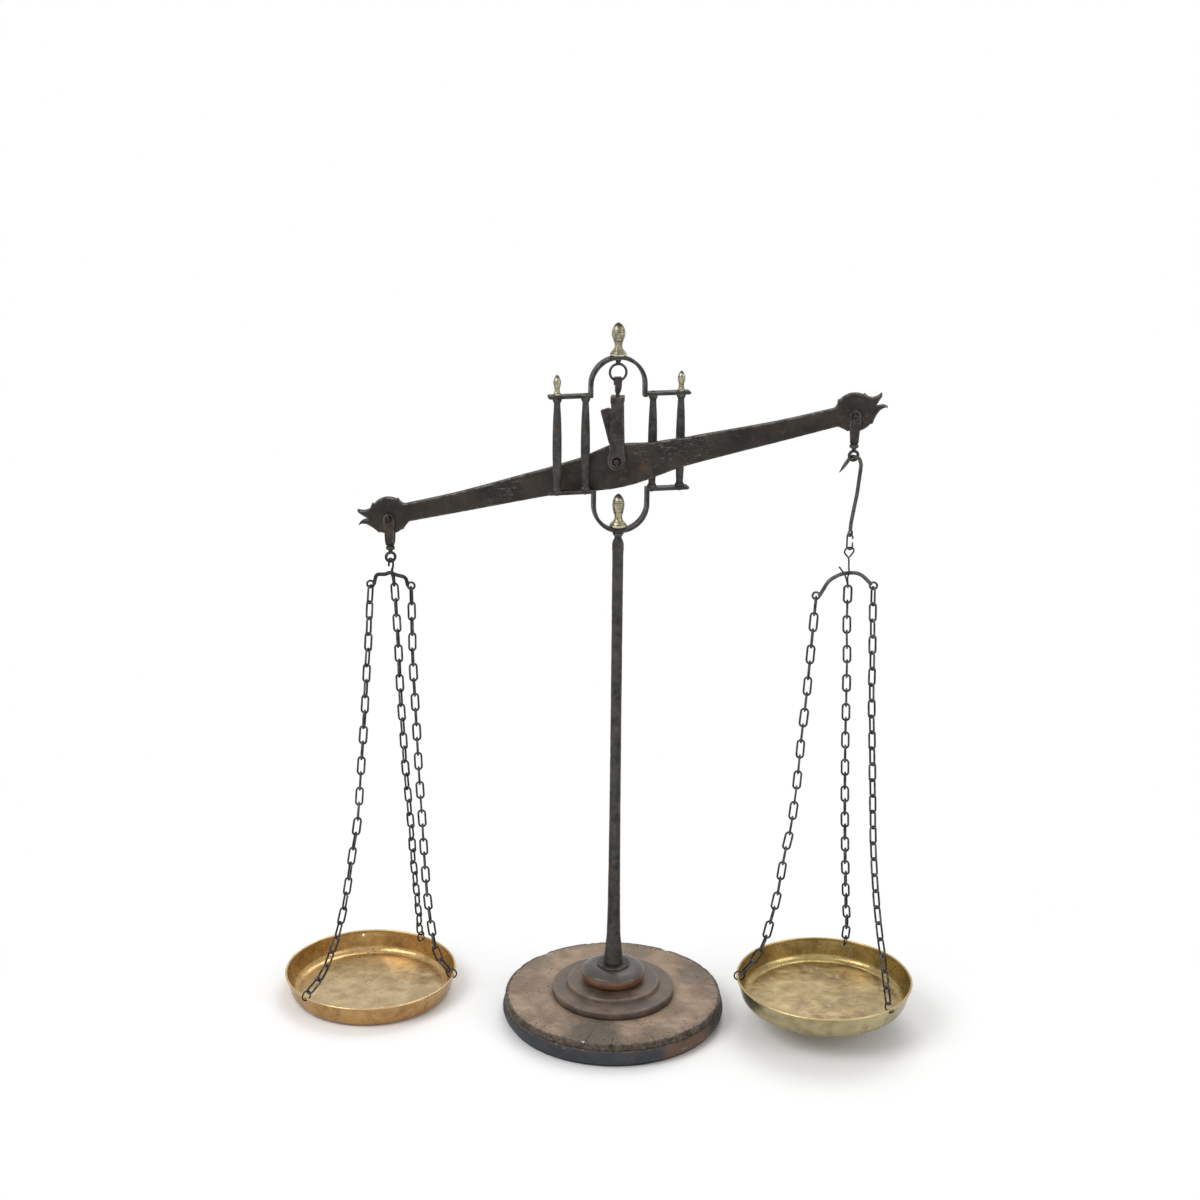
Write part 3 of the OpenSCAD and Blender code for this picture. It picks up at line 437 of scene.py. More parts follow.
disc_mesh = turned("base_disc_worn", fine(
    [(0, 0), (disc_r - 6, 0)] + arc(disc_r - 12, 12, 12, -60, 42, 10)
    + [(disc_r - 3.2, 20.3), (disc_r - 4.4, 21), (disc_r - 2.4, 21.6)]
    + arc(disc_r - 4.2, disc_h - 1.5, 1.5, 20, 90, 4) + [(0, disc_h)], 1.3), 420)


def crumble(p, n):
    """Broken upper edge, slightly dished top and a bruised side."""
    r = math.hypot(p.x, p.y) / mm
    z = p.z / mm
    if z < 1 or r < 60:
        return p
    inward = Vector((-p.x, -p.y, 0)).normalized()
    facing = math.atan2(p.y, p.x)
    front = 0.35 + 0.65 * clamp(-math.sin(facing) + 0.25)
    edge = clamp((z - moulding - 0.5) / 3) * clamp((r - 114) / 6)
    bite = clamp(cloud(p, 11, 3) * 1.5 + cloud(p, 4.5, 8) * 0.9 - 0.05) * front
    move = inward * (bite * 3.4 * edge * mm)
    move.z -= bite * 1.5 * edge * clamp((r - 117) / 6) * mm
    if z > 26:
        move.z -= (0.25 + 0.25 * cloud(p, 60, 5)) * clamp((r - 70) / 20) * mm
        move.z -= 0.16 * clamp(cloud(p, 5, 12)) * mm
    if 2 < z < moulding:
        move += inward * ((0.35 * abs(cloud(p, 22, 6)) + 0.25 * clamp(cloud(p, 5, 2))) * mm)
    return p + move


disc = new_object("base_disc_worn", disc_mesh)
chance = random.Random(11)
worms = bmesh.new()
bored = []
worm_count, worm_gap = 120, 4
while len(bored) < worm_count:
    angle = math.radians(chance.choice((
        chance.gauss(-112, 16), chance.gauss(-60, 40), chance.uniform(0, 360))))
    reach = 122 - abs(chance.gauss(0, 20))
    place = Vector((reach * math.cos(angle), reach * math.sin(angle), disc_h + 0.4))
    if reach > 76 and all((place - q).length > worm_gap for q in bored):
        bored.append(place)
        wide = chance.uniform(0.75, 1.45) * mm
        slant = Matrix.Rotation(chance.uniform(-0.2, 0.2), 4, "X")
        bmesh.ops.create_cone(worms, cap_ends=True, segments=8, radius1=wide * 0.7, radius2=wide,
            depth=5 * mm, matrix=Matrix.Translation(place * mm) @ slant)
carve(disc, "worm_holes", worms)
cracks = bmesh.new()
for angle, deep, wide in (
    (-101, 30, 1.3), (-87, 17, 0.9), (-64, 21, 1.0), (-139, 12, 0.9), (68, 16, 1.2), (12, 14, 0.9),
):
    a = math.radians(angle)
    outer = Vector((math.cos(a), math.sin(a), 0)) * 130
    inner = Vector((math.cos(a + 0.03), math.sin(a + 0.03), 0)) * (122 - deep)
    across = Vector((-math.sin(a), math.cos(a), 0)) * wide / 2
    low, high = Vector((0, 0, disc_h - 4)), Vector((0, 0, disc_h + 2))
    corner = [cracks.verts.new((q + z) * mm) for z in (low, high)
              for q in (outer - across, outer + across, inner + across * 0.2, inner - across * 0.2)]
    for face in (
        (3, 2, 1, 0), (4, 5, 6, 7), (0, 1, 5, 4), (1, 2, 6, 5), (2, 3, 7, 6), (3, 0, 4, 7),
    ):
        cracks.faces.new([corner[k] for k in face])
carve(disc, "cracks", cracks)
move_points(disc.data, crumble)
dress(disc.data, worn_wood.material)
put(disc, "stand", "base_disc")

# Riser: a low turned step with a thin lower tier and a soft upper one, stained brown and
# rubbed paler on its edges. The column's stud holds it down on the disc.
stain = Finish("riser_stain")
rub = stain.noise(26, 5, 0.65, shift=2)
tone = stain.mix(stain.band(rub, 0.35, 0.68), (0.052, 0.034, 0.023), (0.135, 0.092, 0.062))
tone = stain.mix(stain.band(stain.noise(8, 6, 0.7, (0.15, 1, 1)), 0.45, 0.7, 0, 0.5), tone,
    (0.075, 0.042, 0.03))
tone = stain.mix(stain.times(stain.mark("proud"), stain.band(stain.noise(9, 4), 0.35, 0.6)), tone,
    (0.2, 0.145, 0.105))
# Painted shade: near-black dots stand for the shade in small pits.
pit_shade = stain.times(stain.band(stain.cells(4.5, shift=3), 0.1, 0.16, 1, 0),
    stain.band(stain.noise(20, 3, 0.5, shift=8), 0.52, 0.62))
tone = stain.mix(pit_shade, tone, (0.01, 0.008, 0.006))
# Painted shade along the foot of the step, darkest where it meets the disc.
tone = stain.mix(stain.band(stain.height(), 28.5 * mm, 33.5 * mm, 1, 0), tone,
    (0.016, 0.013, 0.012))
stain.surface(tone, stain.band(rub, 0.3, 0.7, 0.42, 0.62),
    stain.noise(2.4, 5, 0.7, (0.3, 1, 1)), 0.18, Coat_Weight=0.15, Coat_Roughness=0.35)

tier_1, tier_2 = 70.4, 53.3
tier_1_top, riser_top = 38, 44.5
riser_mesh = turned("base_step_worn", fine(
    [(0, disc_h), (tier_1 - 1, disc_h)] + arc(tier_1 - 1.5, disc_h + 1.5, 1.5, -30, 0, 3)
    + arc(tier_1 - 3, tier_1_top - 3, 3, 0, 60, 5)
    + [(tier_2 + 5.5, tier_1_top), (tier_2 + 1, tier_1_top + 0.3)]
    + arc(tier_2 - 2.5, riser_top - 2.5, 2.5, 0, 80, 5) + [(0, riser_top)], 1.4), 300)


def rub_down(p, n):
    """Shallow hollows everywhere but on the underside."""
    if p.z < (disc_h + 0.4) * mm:
        return p
    return p - n * (0.22 * mm * (clamp(cloud(p, 9, 4)) + 0.6 * clamp(cloud(p, 30, 2))))


move_points(riser_mesh, rub_down)
mark_edges(riser_mesh)
riser = new_object("base_step_worn", riser_mesh, stain.material)
put(riser, "stand", "base_step")

# Bun: a flattened ball turned from a red-brown hardwood and varnished. The varnish has gone
# dark and dull on top, where hands and dust reach, and stays red-brown underneath.
bun_r, bun_top = 36.8, 64
varnish = Finish("bun_varnish")
depth_z = varnish.ragged(varnish.height(), 9, 7)
red = varnish.mix(varnish.noise(16, 6, 0.7, (1, 1, 0.25)),
    (0.045, 0.017, 0.009), (0.21, 0.088, 0.038))
worn_red = varnish.mix(varnish.band(varnish.noise(11, 5, 0.7, shift=6), 0.5, 0.66), red,
    (0.16, 0.075, 0.04))
dusty = varnish.mix(varnish.noise(12, 5, 0.65, shift=3),
    (0.02, 0.014, 0.011), (0.062, 0.044, 0.034))
coat = varnish.mix(varnish.band(depth_z, 54.5 * mm, 59.5 * mm), worn_red, dusty)
coat = varnish.mix(varnish.band(varnish.noise(3, 3, 0.6, shift=8), 0.7, 0.76, 0, 0.7), coat,
    (0.014, 0.01, 0.008))
varnish.surface(coat, varnish.band(varnish.noise(10, 4), 0.3, 0.7, 0.28, 0.5),
    varnish.noise(6, 4, 0.6), 0.35, Coat_Weight=0.2, Coat_Roughness=0.3)

shoulder = [(bun_r - 2.1 - t * 2.6, riser_top + 14.8 + 4.7 * math.sin(math.radians(18 * t)))
            for t in range(1, 6)]
bun_mesh = turned("base_bun_worn", fine(
    [(0, riser_top), (bun_r - 7, riser_top)] + arc(bun_r - 9, riser_top + 9, 9, -70, 40, 12)
    + shoulder + [(0, bun_top)], 1.2), 200)


def handle(p, n):
    """Worn by hands, but still flat where the riser and the washer touch."""
    if not riser_top + 1 < p.z / mm < bun_top - 0.5:
        return p
    return p - n * (0.25 * mm * abs(cloud(p, 14, 3)))


move_points(bun_mesh, handle)
bun = new_object("base_bun_worn", bun_mesh, varnish.material)
put(bun, "stand", "base_bun")


# Forged and turned iron: hammered while hot, filed, and long since gone dark brown with rust
# in the hollows and bare grey on the edges. The washer is the first piece to use it.
def old_iron(name, dark, light, rust, rusty, bare, scratch=0.0, rough=(0.42, 0.68), grain=13):
    """Iron finish: rusty is the share of brown, bare how far edges are rubbed bright, and grain
    how many millimetres its patches measure."""
    iron = Finish(name)
    skin = iron.mix(iron.band(iron.noise(grain, 6, 0.68, shift=1), 0.32, 0.68), dark, light)
    spots = iron.band(iron.noise(grain * 0.8, 7, 0.74, shift=4, warp=0.5),
        0.66 - 0.26 * rusty, 0.78 - 0.22 * rusty)
    skin = iron.mix(iron.times(spots, 0.85), skin, rust)
    skin = iron.mix(iron.band(iron.noise(2.2, 4, 0.7, shift=6), 0.55, 0.72, 0, 0.28), skin,
        tuple(c * 0.4 for c in dark))
    hollow = iron.times(iron.mark("sunk"), 0.7)
    skin = iron.mix(hollow, skin, tuple(c * 0.5 for c in rust))
    edge = iron.times(iron.mark("proud"),
        iron.band(iron.noise(7, 5, 0.7, shift=2), 0.4, 0.62))
    skin = iron.mix(iron.times(edge, bare), skin, (0.24, 0.235, 0.225))
    if scratch:
        lines = iron.band(iron.noise(3.0, 6, 0.85, (0.6, 1, 1.5), 11), 0.55, 0.63)
        rubbed = iron.band(iron.noise(45, 3, 0.5, shift=13), 0.58, 0.66, 0, 0.5)
        for place, reach in (((66, -4, 680), 34), ((-122, -4, 641), 26), ((24, -4, 672), 14)):
            rubbed = iron.math("MAXIMUM", rubbed, iron.near(place, reach, 14))
        skin = iron.mix(iron.times(iron.times(lines, rubbed), scratch), skin, (0.36, 0.35, 0.33))
    relief = iron.math("ADD", iron.noise(5, 6, 0.6), iron.times(iron.noise(1.1, 3, 0.6), 0.25))
    gloss = iron.band(iron.noise(6, 4, 0.6, shift=3), 0.3, 0.7, *rough)
    return iron.surface(skin, gloss, relief, 0.3, metal=iron.band(spots, 0, 1, 0.5, 0.1), IOR=1.38)


def forged(node, material, body, grid, dent, size, soften=2, seed=0, thin=0.0):
    """The CAD piece again in worn metal: edges rounded over and faces left uneven, with hollows
    up to dent millimetres deep and about size millimetres across."""
    bm = bmesh.new()
    bm.from_mesh(frame["nodes"][node].data)
    bmesh.ops.remove_doubles(bm, verts=bm.verts, dist=1e-6)
    mesh = bpy.data.meshes.new(node + "_worn")
    bm.to_mesh(mesh)
    piece = new_object(node + "_worn", mesh)
    remesh = piece.modifiers.new("skin", "REMESH")
    remesh.mode = "VOXEL"
    remesh.voxel_size = grid * mm
    rounded = piece.modifiers.new("soften", "SMOOTH")
    rounded.factor = 0.5
    rounded.iterations = soften
    mesh = settle(piece)
    mark_edges(mesh)
    move_points(mesh, lambda p, n: p - n * mm * (thin + dent * (
        abs(cloud(p, size, seed)) + 0.35 * cloud(p, size / 3, seed + 5))))
    dress(mesh, material)
    put(piece, body, node)


column_iron = old_iron("column_iron",
    (0.024, 0.022, 0.02), (0.066, 0.061, 0.056), (0.1, 0.05, 0.03), 0.42, 0.5)
forged("post_washer", column_iron, "stand", 0.5, 0.08, 7)

# Nut and plug: the nut draws the column down from a recess under the disc, and a wooden plug
# closes the recess. Neither shows while the scale stands, so both keep their plain shapes.
for hidden, material in (("base_nut", column_iron), ("base_plug", worn_wood.material)):
    frame["nodes"][hidden].data.materials.clear()
    frame["nodes"][hidden].data.materials.append(material)

# Column: a tapered iron bar turned with a collar and a short neck under the yoke. Its stud
# goes down through the whole foot. Rust and grease have made it dark and mottled.
forged("post", column_iron, "stand", 0.85, 0.14, 14, 3, seed=2)

# Yoke: two flat bars bent hot over the anvil, one into a U below and one into an arch above,
# with four turned balusters tenoned between them. A ring under the crown carries the beam.
yoke_iron = old_iron("yoke_iron",
    (0.022, 0.02, 0.019), (0.066, 0.062, 0.058), (0.085, 0.045, 0.028), 0.35, 0.8)
for node in ("lower_yoke", "upper_arch"):
    forged(node, yoke_iron, "stand", 0.42, 0.12, 7, 3, seed=4)
for k, node in enumerate((
    "pillar_left_outer", "pillar_left_inner", "pillar_right_inner", "pillar_right_outer",
)):
    forged(node, yoke_iron, "stand", 0.4, 0.1, 9, 2, seed=6 + k)
forged("eye_bolt", yoke_iron, "stand", 0.3, 0.08, 5, seed=3)

# Finials: cast brass acorns finished on the lathe with fine incised lines, tarnished to a pale
# greenish gold that is dark at the tip and in the lines, with a highlight painted round the flange.
tarnish = Finish("tarnished_brass")
cast = tarnish.mix(tarnish.band(tarnish.noise(8, 5, 0.65), 0.34, 0.66),
    (0.2, 0.185, 0.12), (0.5, 0.46, 0.32))
cast = tarnish.mix(tarnish.band(tarnish.noise(4, 6, 0.75, shift=3), 0.5, 0.66, 0, 0.85), cast,
    (0.07, 0.066, 0.05))
cast = tarnish.mix(tarnish.times(tarnish.mark("dark"), 0.92), cast, (0.035, 0.034, 0.03))
# Painted highlight: a pale band round the flange, read from the mark "bright".
cast = tarnish.mix(tarnish.times(tarnish.mark("bright"), 0.7), cast, (0.66, 0.6, 0.42))
tarnish.surface(cast, tarnish.band(tarnish.noise(5, 4), 0.3, 0.7, 0.2, 0.42),
    tarnish.noise(1.6, 4, 0.6), 0.08, metal=0.9)


def smooth(outline):
    """Rounded profile through its points."""
    return [(q.x, q.y) for q in spline([(r, z, 0) for r, z in outline])]


def spline(route):
    """Smooth curve through the points of a route."""
    n = 6
    p = [Vector(q) for q in route]
    out = []
    for i in range(len(p) - 1):
        a, b, c, d = p[max(i - 1, 0)], p[i], p[i + 1], p[min(i + 2, len(p) - 1)]
        for k in range(n):
            t = k / n
            out.append(0.5 * (2 * b + (c - a) * t + (2 * a - 5 * b + 4 * c - d) * t * t
                + (3 * b - a - 3 * c + d) * t * t * t))
    return out + [p[-1]]


def finial(node, x, y, z, outline, lines, bright, tip):
    """A turned brass piece with incised lines at the given heights over its seat."""
    cut = []
    for r, h in fine(outline, 0.22):
        groove = sum(0.34 * math.exp(-((h - line) / 0.2) ** 2) for line in lines)
        cut.append((r - groove if r > 1 else r, z + h))
    mesh = turned(node + "_worn", cut, 72, (x, y))
    dark, flange_highlight = [], []
    for v in mesh.vertices:
        h = v.co.z / mm - z
        rough = 1.2 * cloud(v.co, 3, 2)
        groove = max(math.exp(-((h - line) / 0.3) ** 2) for line in lines)
        dark.append(clamp(max(groove, (h - tip + rough) / 2)))
        # A band about the given height on the flange, to be painted pale as a highlight.
        flange_highlight.append(clamp(1 - abs(h - bright) / 1.1))
    mark_points(mesh, dark=dark, bright=flange_highlight)
    move_points(mesh, lambda p, n: p - n * (
        0.06 * mm * (abs(cloud(p, 5, 6)) + 0.4 * cloud(p, 1.6, 1))))
    put(new_object(node + "_worn", mesh, tarnish.material), "stand", node)


def acorn(h, flange, neck, body, sink, skirt):
    """Profile of a large finial: skirt sunk in its seat, flange, neck, and acorn in its cup."""
    return ([(0, -sink), (skirt, -sink), (skirt, 0), (flange - 0.7, 0), (flange, 0.02 * h),
             (flange, 0.06 * h), (flange - 1.2, 0.1 * h), (flange - 1.9, 0.13 * h)]
        + smooth([(flange - 2.4, 0.145 * h), (neck + 0.9, 0.2 * h), (neck, 0.29 * h),
                  (neck + 0.5, 0.38 * h)])
        + [(neck + 1.3, 0.44 * h), (neck + 1.1, 0.45 * h)]
        + smooth([(neck + 1.5, 0.47 * h), (body * 0.94, 0.57 * h), (body, 0.66 * h),
                  (body * 0.97, 0.72 * h)])
        + [(body * 0.92, 0.73 * h), (body * 0.92, 0.742 * h)]
        + smooth([(body * 0.95, 0.75 * h), (body * 0.84, 0.83 * h), (body * 0.58, 0.92 * h),
                  (body * 0.36, 0.965 * h), (body * 0.2, 0.99 * h)])
        + [(0, h)])


yoke_turn = math.radians(16.5)
u_floor, rail_top, crown_top = 587.89, 734.82, 774.82
crown_off, outer_pillar = -1.8, 67.2
finial("top_finial", crown_off * math.cos(yoke_turn), crown_off * math.sin(yoke_turn), crown_top,
    acorn(35, 9.1, 4.1, 7.4, 0, 3.5), (2.9, 15.6, 19.4, 25.8, 27.6), 1.4, 30)
finial("lower_finial", 0, 0, u_floor,
    acorn(36.5, 9.4, 4.3, 6.8, 1.8, 4.25), (3.1, 16.3, 20.6, 26.9, 29), 1.5, 31.5)
small = [(0, 0), (4.1, 0), (4.2, 1.4), (3.4, 2.4), (2.9, 4)] + smooth([
    (2.8, 6), (3.1, 7.6), (4.2, 12.2), (3.9, 15.5), (2.6, 18.6), (1.3, 20.8)]) + [(0, 21.5)]
for node, out in (("finial_left", -outer_pillar), ("finial_right", outer_pillar)):
    finial(node, out * math.cos(yoke_turn), out * math.sin(yoke_turn), rail_top, small,
        (1.9, 7.2, 15.2), 0.8, 17.5)

# Swivel and stirrup: a strap hooked over the ring, riveted so that it can turn in the head
# of a two-cheeked fork, which carries the beam's middle knife.
rust_iron = old_iron("rusty_iron",
    (0.022, 0.019, 0.019), (0.062, 0.055, 0.053), (0.085, 0.048, 0.036), 0.5, 0.6)
forged("stirrup_hook", rust_iron, "swivel_hook", 0.3, 0.08, 5)
forged("stirrup", rust_iron, "fork", 0.45, 0.1, 7)

# Beam: cut and filed from a thick iron plate, with an open mouth and curling spurs at each
# end, a pointer mortised into its back, and three hardened knife edges.
beam_iron = old_iron("beam_iron",
    (0.019, 0.016, 0.014), (0.045, 0.037, 0.031), (0.062, 0.036, 0.023), 0.45, 0.9, 0.4, grain=30)
forged("beam", beam_iron, "balance_beam", 0.68, 0.12, 12, 1, seed=5)
forged("tongue", rust_iron, "balance_beam", 0.45, 0.08, 8)
for node in ("center_knife", "knife_left", "knife_right"):
    forged(node, beam_iron, "balance_beam", 0.22, 0.03, 4, 1)

# Hangers: end shackles bent from strap iron ride on the end knives, and hooks, a worn open
# link and two bows, all drawn out from round iron, hang one in another below them. The long
# hook and the right bow are rubbed brighter than the rest.
chain_iron = old_iron("chain_iron",
    (0.012, 0.0115, 0.011), (0.038, 0.037, 0.036), (0.05, 0.03, 0.022), 0.3, 0.45)
rubbed_iron = old_iron("rubbed_iron",
    (0.022, 0.021, 0.02), (0.098, 0.094, 0.09), (0.055, 0.034, 0.025), 0.25, 0.8,
    rough=(0.34, 0.55))
for node, body, slot, iron, grid, thin in (
    ("shackle_left", "left_shackle", "iron_beam", beam_iron, 0.32, 0),
    ("shackle_right", "right_shackle", "iron_beam", beam_iron, 0.32, 0),
    ("hook_left", "left_hook", "iron_chain", chain_iron, 0.26, 0.1),
    ("hook_right", "right_hook", "iron_chain", rubbed_iron, 0.34, 0),
    ("link_right", "right_link", "iron_chain", chain_iron, 0.24, 0),
    ("wire_hook_right", "right_wire_hook", "iron_chain", chain_iron, 0.24, 0),
    ("bow_left", "left_pan_set", "iron_chain", chain_iron, 0.32, 0),
    ("bow_right", "right_pan_set", "iron_chain", rubbed_iron, 0.34, 0),
):
    forged(node, iron, body, grid, 0.07, 4, seed=7, thin=thin)

# Chains: closed oval links bent from wire and welded, each hung a quarter turn from the
# last. They run from the bows and hooks down to the rings in the pans' walls.
wire_d, link_width, link_play = 2.35, 7.65, 0.2


def link_tree(material):
    """Geometry nodes that set one bent wire link on every point."""
    tree = bpy.data.node_groups.new("chain_links", "GeometryNodeTree")
    face = tree.interface
    face.new_socket("Geometry", in_out="INPUT", socket_type="NodeSocketGeometry")
    for name, value in (
        ("Width", link_width * mm), ("Length", 15 * mm), ("Wire", wire_d * mm), ("Wear", 0.12 * mm),
    ):
        face.new_socket(name, in_out="INPUT", socket_type="NodeSocketFloat").default_value = value
    face.new_socket("Seed", in_out="INPUT", socket_type="NodeSocketInt").default_value = 4
    face.new_socket("Geometry", in_out="OUTPUT", socket_type="NodeSocketGeometry")

    def add(kind, inputs=(), **settings):
        n = tree.nodes.new(kind)
        for key, value in settings.items():
            setattr(n, key, value)
        for key, value in dict(inputs).items():
            if isinstance(value, bpy.types.NodeSocket):
                tree.links.new(value, n.inputs[key])
            else:
                n.inputs[key].default_value = value
        return n

    given = add("NodeGroupInput").outputs
    square = add("GeometryNodeCurvePrimitiveQuadrilateral", {0: given["Width"], 1: given["Length"]})
    half = add("ShaderNodeMath", {0: given["Width"], 1: 0.497}, operation="MULTIPLY")
    oval = add("GeometryNodeFilletCurve", {"Curve": square.outputs[0], "Radius": half.outputs[0],
        "Count": 5, "Limit Radius": True}, mode="POLY")
    wire = add("ShaderNodeMath", {0: given["Wire"], 1: 0.5}, operation="MULTIPLY")
    ring = add("GeometryNodeCurvePrimitiveCircle", {"Resolution": 9, "Radius": wire.outputs[0]})
    tube = add("GeometryNodeCurveToMesh", {
        "Curve": oval.outputs[0], "Profile Curve": ring.outputs[0]})
    upright = add("GeometryNodeTransform", {
        "Geometry": tube.outputs[0], "Rotation": (math.pi / 2, 0, 0)})
    way = add("GeometryNodeInputNamedAttribute", {"Name": "way"}, data_type="FLOAT_VECTOR")
    angle = add("FunctionNodeEulerToRotation", {0: way.outputs[0]})
    size = add("FunctionNodeRandomValue", {"Min": (0.96, 0.97, 0.997), "Max": (1.04, 1.03, 1.003),
        "Seed": given["Seed"]}, data_type="FLOAT_VECTOR")
    spread = add("GeometryNodeInstanceOnPoints", {
        "Points": given["Geometry"], "Instance": upright.outputs[0],
        "Rotation": angle.outputs[0], "Scale": size.outputs[0]})
    real = add("GeometryNodeRealizeInstances", {"Geometry": spread.outputs[0]})
    rough = add("ShaderNodeTexNoise", {"Scale": 260.0, "Detail": 2.0}, noise_dimensions="4D")
    tree.links.new(given["Seed"], rough.inputs["W"])
    low = add("ShaderNodeMath", {0: rough.outputs[0], 1: 0.5}, operation="SUBTRACT")
    amount = add("ShaderNodeMath", {0: low.outputs[0], 1: given["Wear"]}, operation="MULTIPLY")
    normal = add("GeometryNodeInputNormal")
    push = add("ShaderNodeVectorMath", {0: normal.outputs[0], "Scale": amount.outputs[0]},
        operation="SCALE")
    worn = add("GeometryNodeSetPosition", {"Geometry": real.outputs[0], "Offset": push.outputs[0]})
    soft = add("GeometryNodeSetShadeSmooth", {"Geometry": worn.outputs[0]})
    paint = add("GeometryNodeSetMaterial", {"Geometry": soft.outputs[0], "Material": material})
    end = add("NodeGroupOutput")
    tree.links.new(paint.outputs[0], end.inputs[0])
    return tree


links = link_tree(chain_iron)


def chain(node, body, route, n, first, drift):
    """Hangs n links along a route. The first is turned by first degrees, and each next one by a
    quarter turn and drift."""
    line = spline(route)
    at = [0.0]
    for a, b in zip(line, line[1:]):
        at.append(at[-1] + (b - a).length)

    def along(t):
        return Vector([float(np.interp(t, at, [q[k] for q in line])) for k in range(3)])

    pitch = at[-1] / n
    centres, ways = [], []
    for k in range(n):
        p, q = along(k * pitch), along((k + 1) * pitch)
        d = q - p
        plan = math.atan2(d.y, d.x)
        hang = Matrix.Rotation(plan, 3, "Z") @ Matrix.Rotation(-math.acos(-d.z / d.length), 3, "Y")
        hang = hang @ Matrix.Rotation(math.radians(first + k * (90 + drift)) - plan, 3, "Z")
        centres.append((p + q) / 2 * mm)
        ways.append(hang.to_euler("XYZ"))
    mesh = bpy.data.meshes.new(node + "_links")
    mesh.from_pydata(centres, [], [])
    mesh.attributes.new("way", "FLOAT_VECTOR", "POINT").data.foreach_set(
        "vector", [c for w in ways for c in w])
    piece = new_object(node + "_links", mesh)
    hung = piece.modifiers.new("links", "NODES")
    hung.node_group = links
    sockets = {s.name: s.identifier for s in links.interface.items_tree if s.in_out == "INPUT"}
    hung[sockets["Length"]] = (pitch + link_play + wire_d) * mm
    hung[sockets["Seed"]] = len(bpy.data.objects)
    settle(piece)
    mark_edges(piece.data)
    put(piece, body, node)


def ring_joint(pan, angle, lift):
    """Where the last link hangs in a ring of the pan."""
    a, b = math.radians(angle), math.radians(lift)
    reach = ring_at - ring_r * math.cos(b)
    return (pan[0] + reach * math.cos(a), pan[1] + reach * math.sin(a),
        pan[2] + pan_h + ring_r * math.sin(b))


left_pan, right_pan = (-289.5, 30.5, 0), (242.6, 0, 31)
pan_h, ring_at, ring_r = 28, 97.2, 4.8
chain("chain_left_front", "left_pan_set", [
    (-272, 0, 510.9), (-274, -1, 482), (-276, -2, 445), (-279, -3, 405), (-283, -4, 349),
    (-286, -6, 312), (-292, -10, 235), (-298, -12, 200), (-307, -18, 140), (-315, -22, 103),
    (-320, -24, 86), (-326, -27, 68), (-333, -30, 51), (-341, -36, 38),
    ring_joint(left_pan, 231, 40)], 27, 60, 3.1)
chain("chain_left_back", "left_pan_set", [
    (-245.5, 0, 514.0), (-244, 6, 448), (-244, 10, 413), (-244, 14, 378), (-243, 21, 326),
    (-243, 28, 290), (-242, 35, 256), (-241, 50, 195), (-242, 61, 160), (-242, 77, 116),
    (-243, 101, 60), ring_joint(left_pan, 62, 65)], 27, 0, -1.08)
chain("chain_left_inner", "left_pan_set", [
    (-227, 0, 510.5), (-227, 1, 464), (-227, 1, 427), (-225, 3, 356), (-223, 5, 284),
    (-221, 8, 229), (-220, 9, 195), (-218, 13, 137), (-215, 16, 100), (-211, 20, 65),
    (-205, 23, 45), ring_joint(left_pan, 357, 52)], 27, 115, -1.07)
chain("chain_right_inner", "right_pan_set", [
    (215.5, 0, 514.1), (214, 0, 488), (212, -1, 450), (209, -1, 394), (206, -2, 357),
    (203, -3, 302), (198, -4, 246), (192, -5, 212), (185, -8, 158), (181, -8, 140),
    (174, -9, 108), (167, -9, 90), (159, -8, 76), ring_joint(right_pan, 184, 48)], 25, 80, 0.58)
chain("chain_right_back", "right_pan_set", [
    (249.22, 0, 528.25), (250, 3, 483), (252, 6, 447), (253, 10, 413), (254, 13, 377),
    (255, 18, 341), (258, 30, 268), (262, 48, 194), (267, 72, 119), (270, 85, 85),
    ring_joint(right_pan, 74, 72)], 27, 0, -0.6)
chain("chain_right_outer", "right_pan_set", [
    (276.5, 0, 527.3), (277, -1, 504), (279, -4, 448), (280, -6, 409), (283, -10, 352),
    (287, -18, 277), (289, -23, 239), (292, -29, 203), (296, -37, 167), (301, -46, 133),
    (305, -53, 111), (309, -60, 84), ring_joint(right_pan, 317, 70)], 26, 115, 0.88)


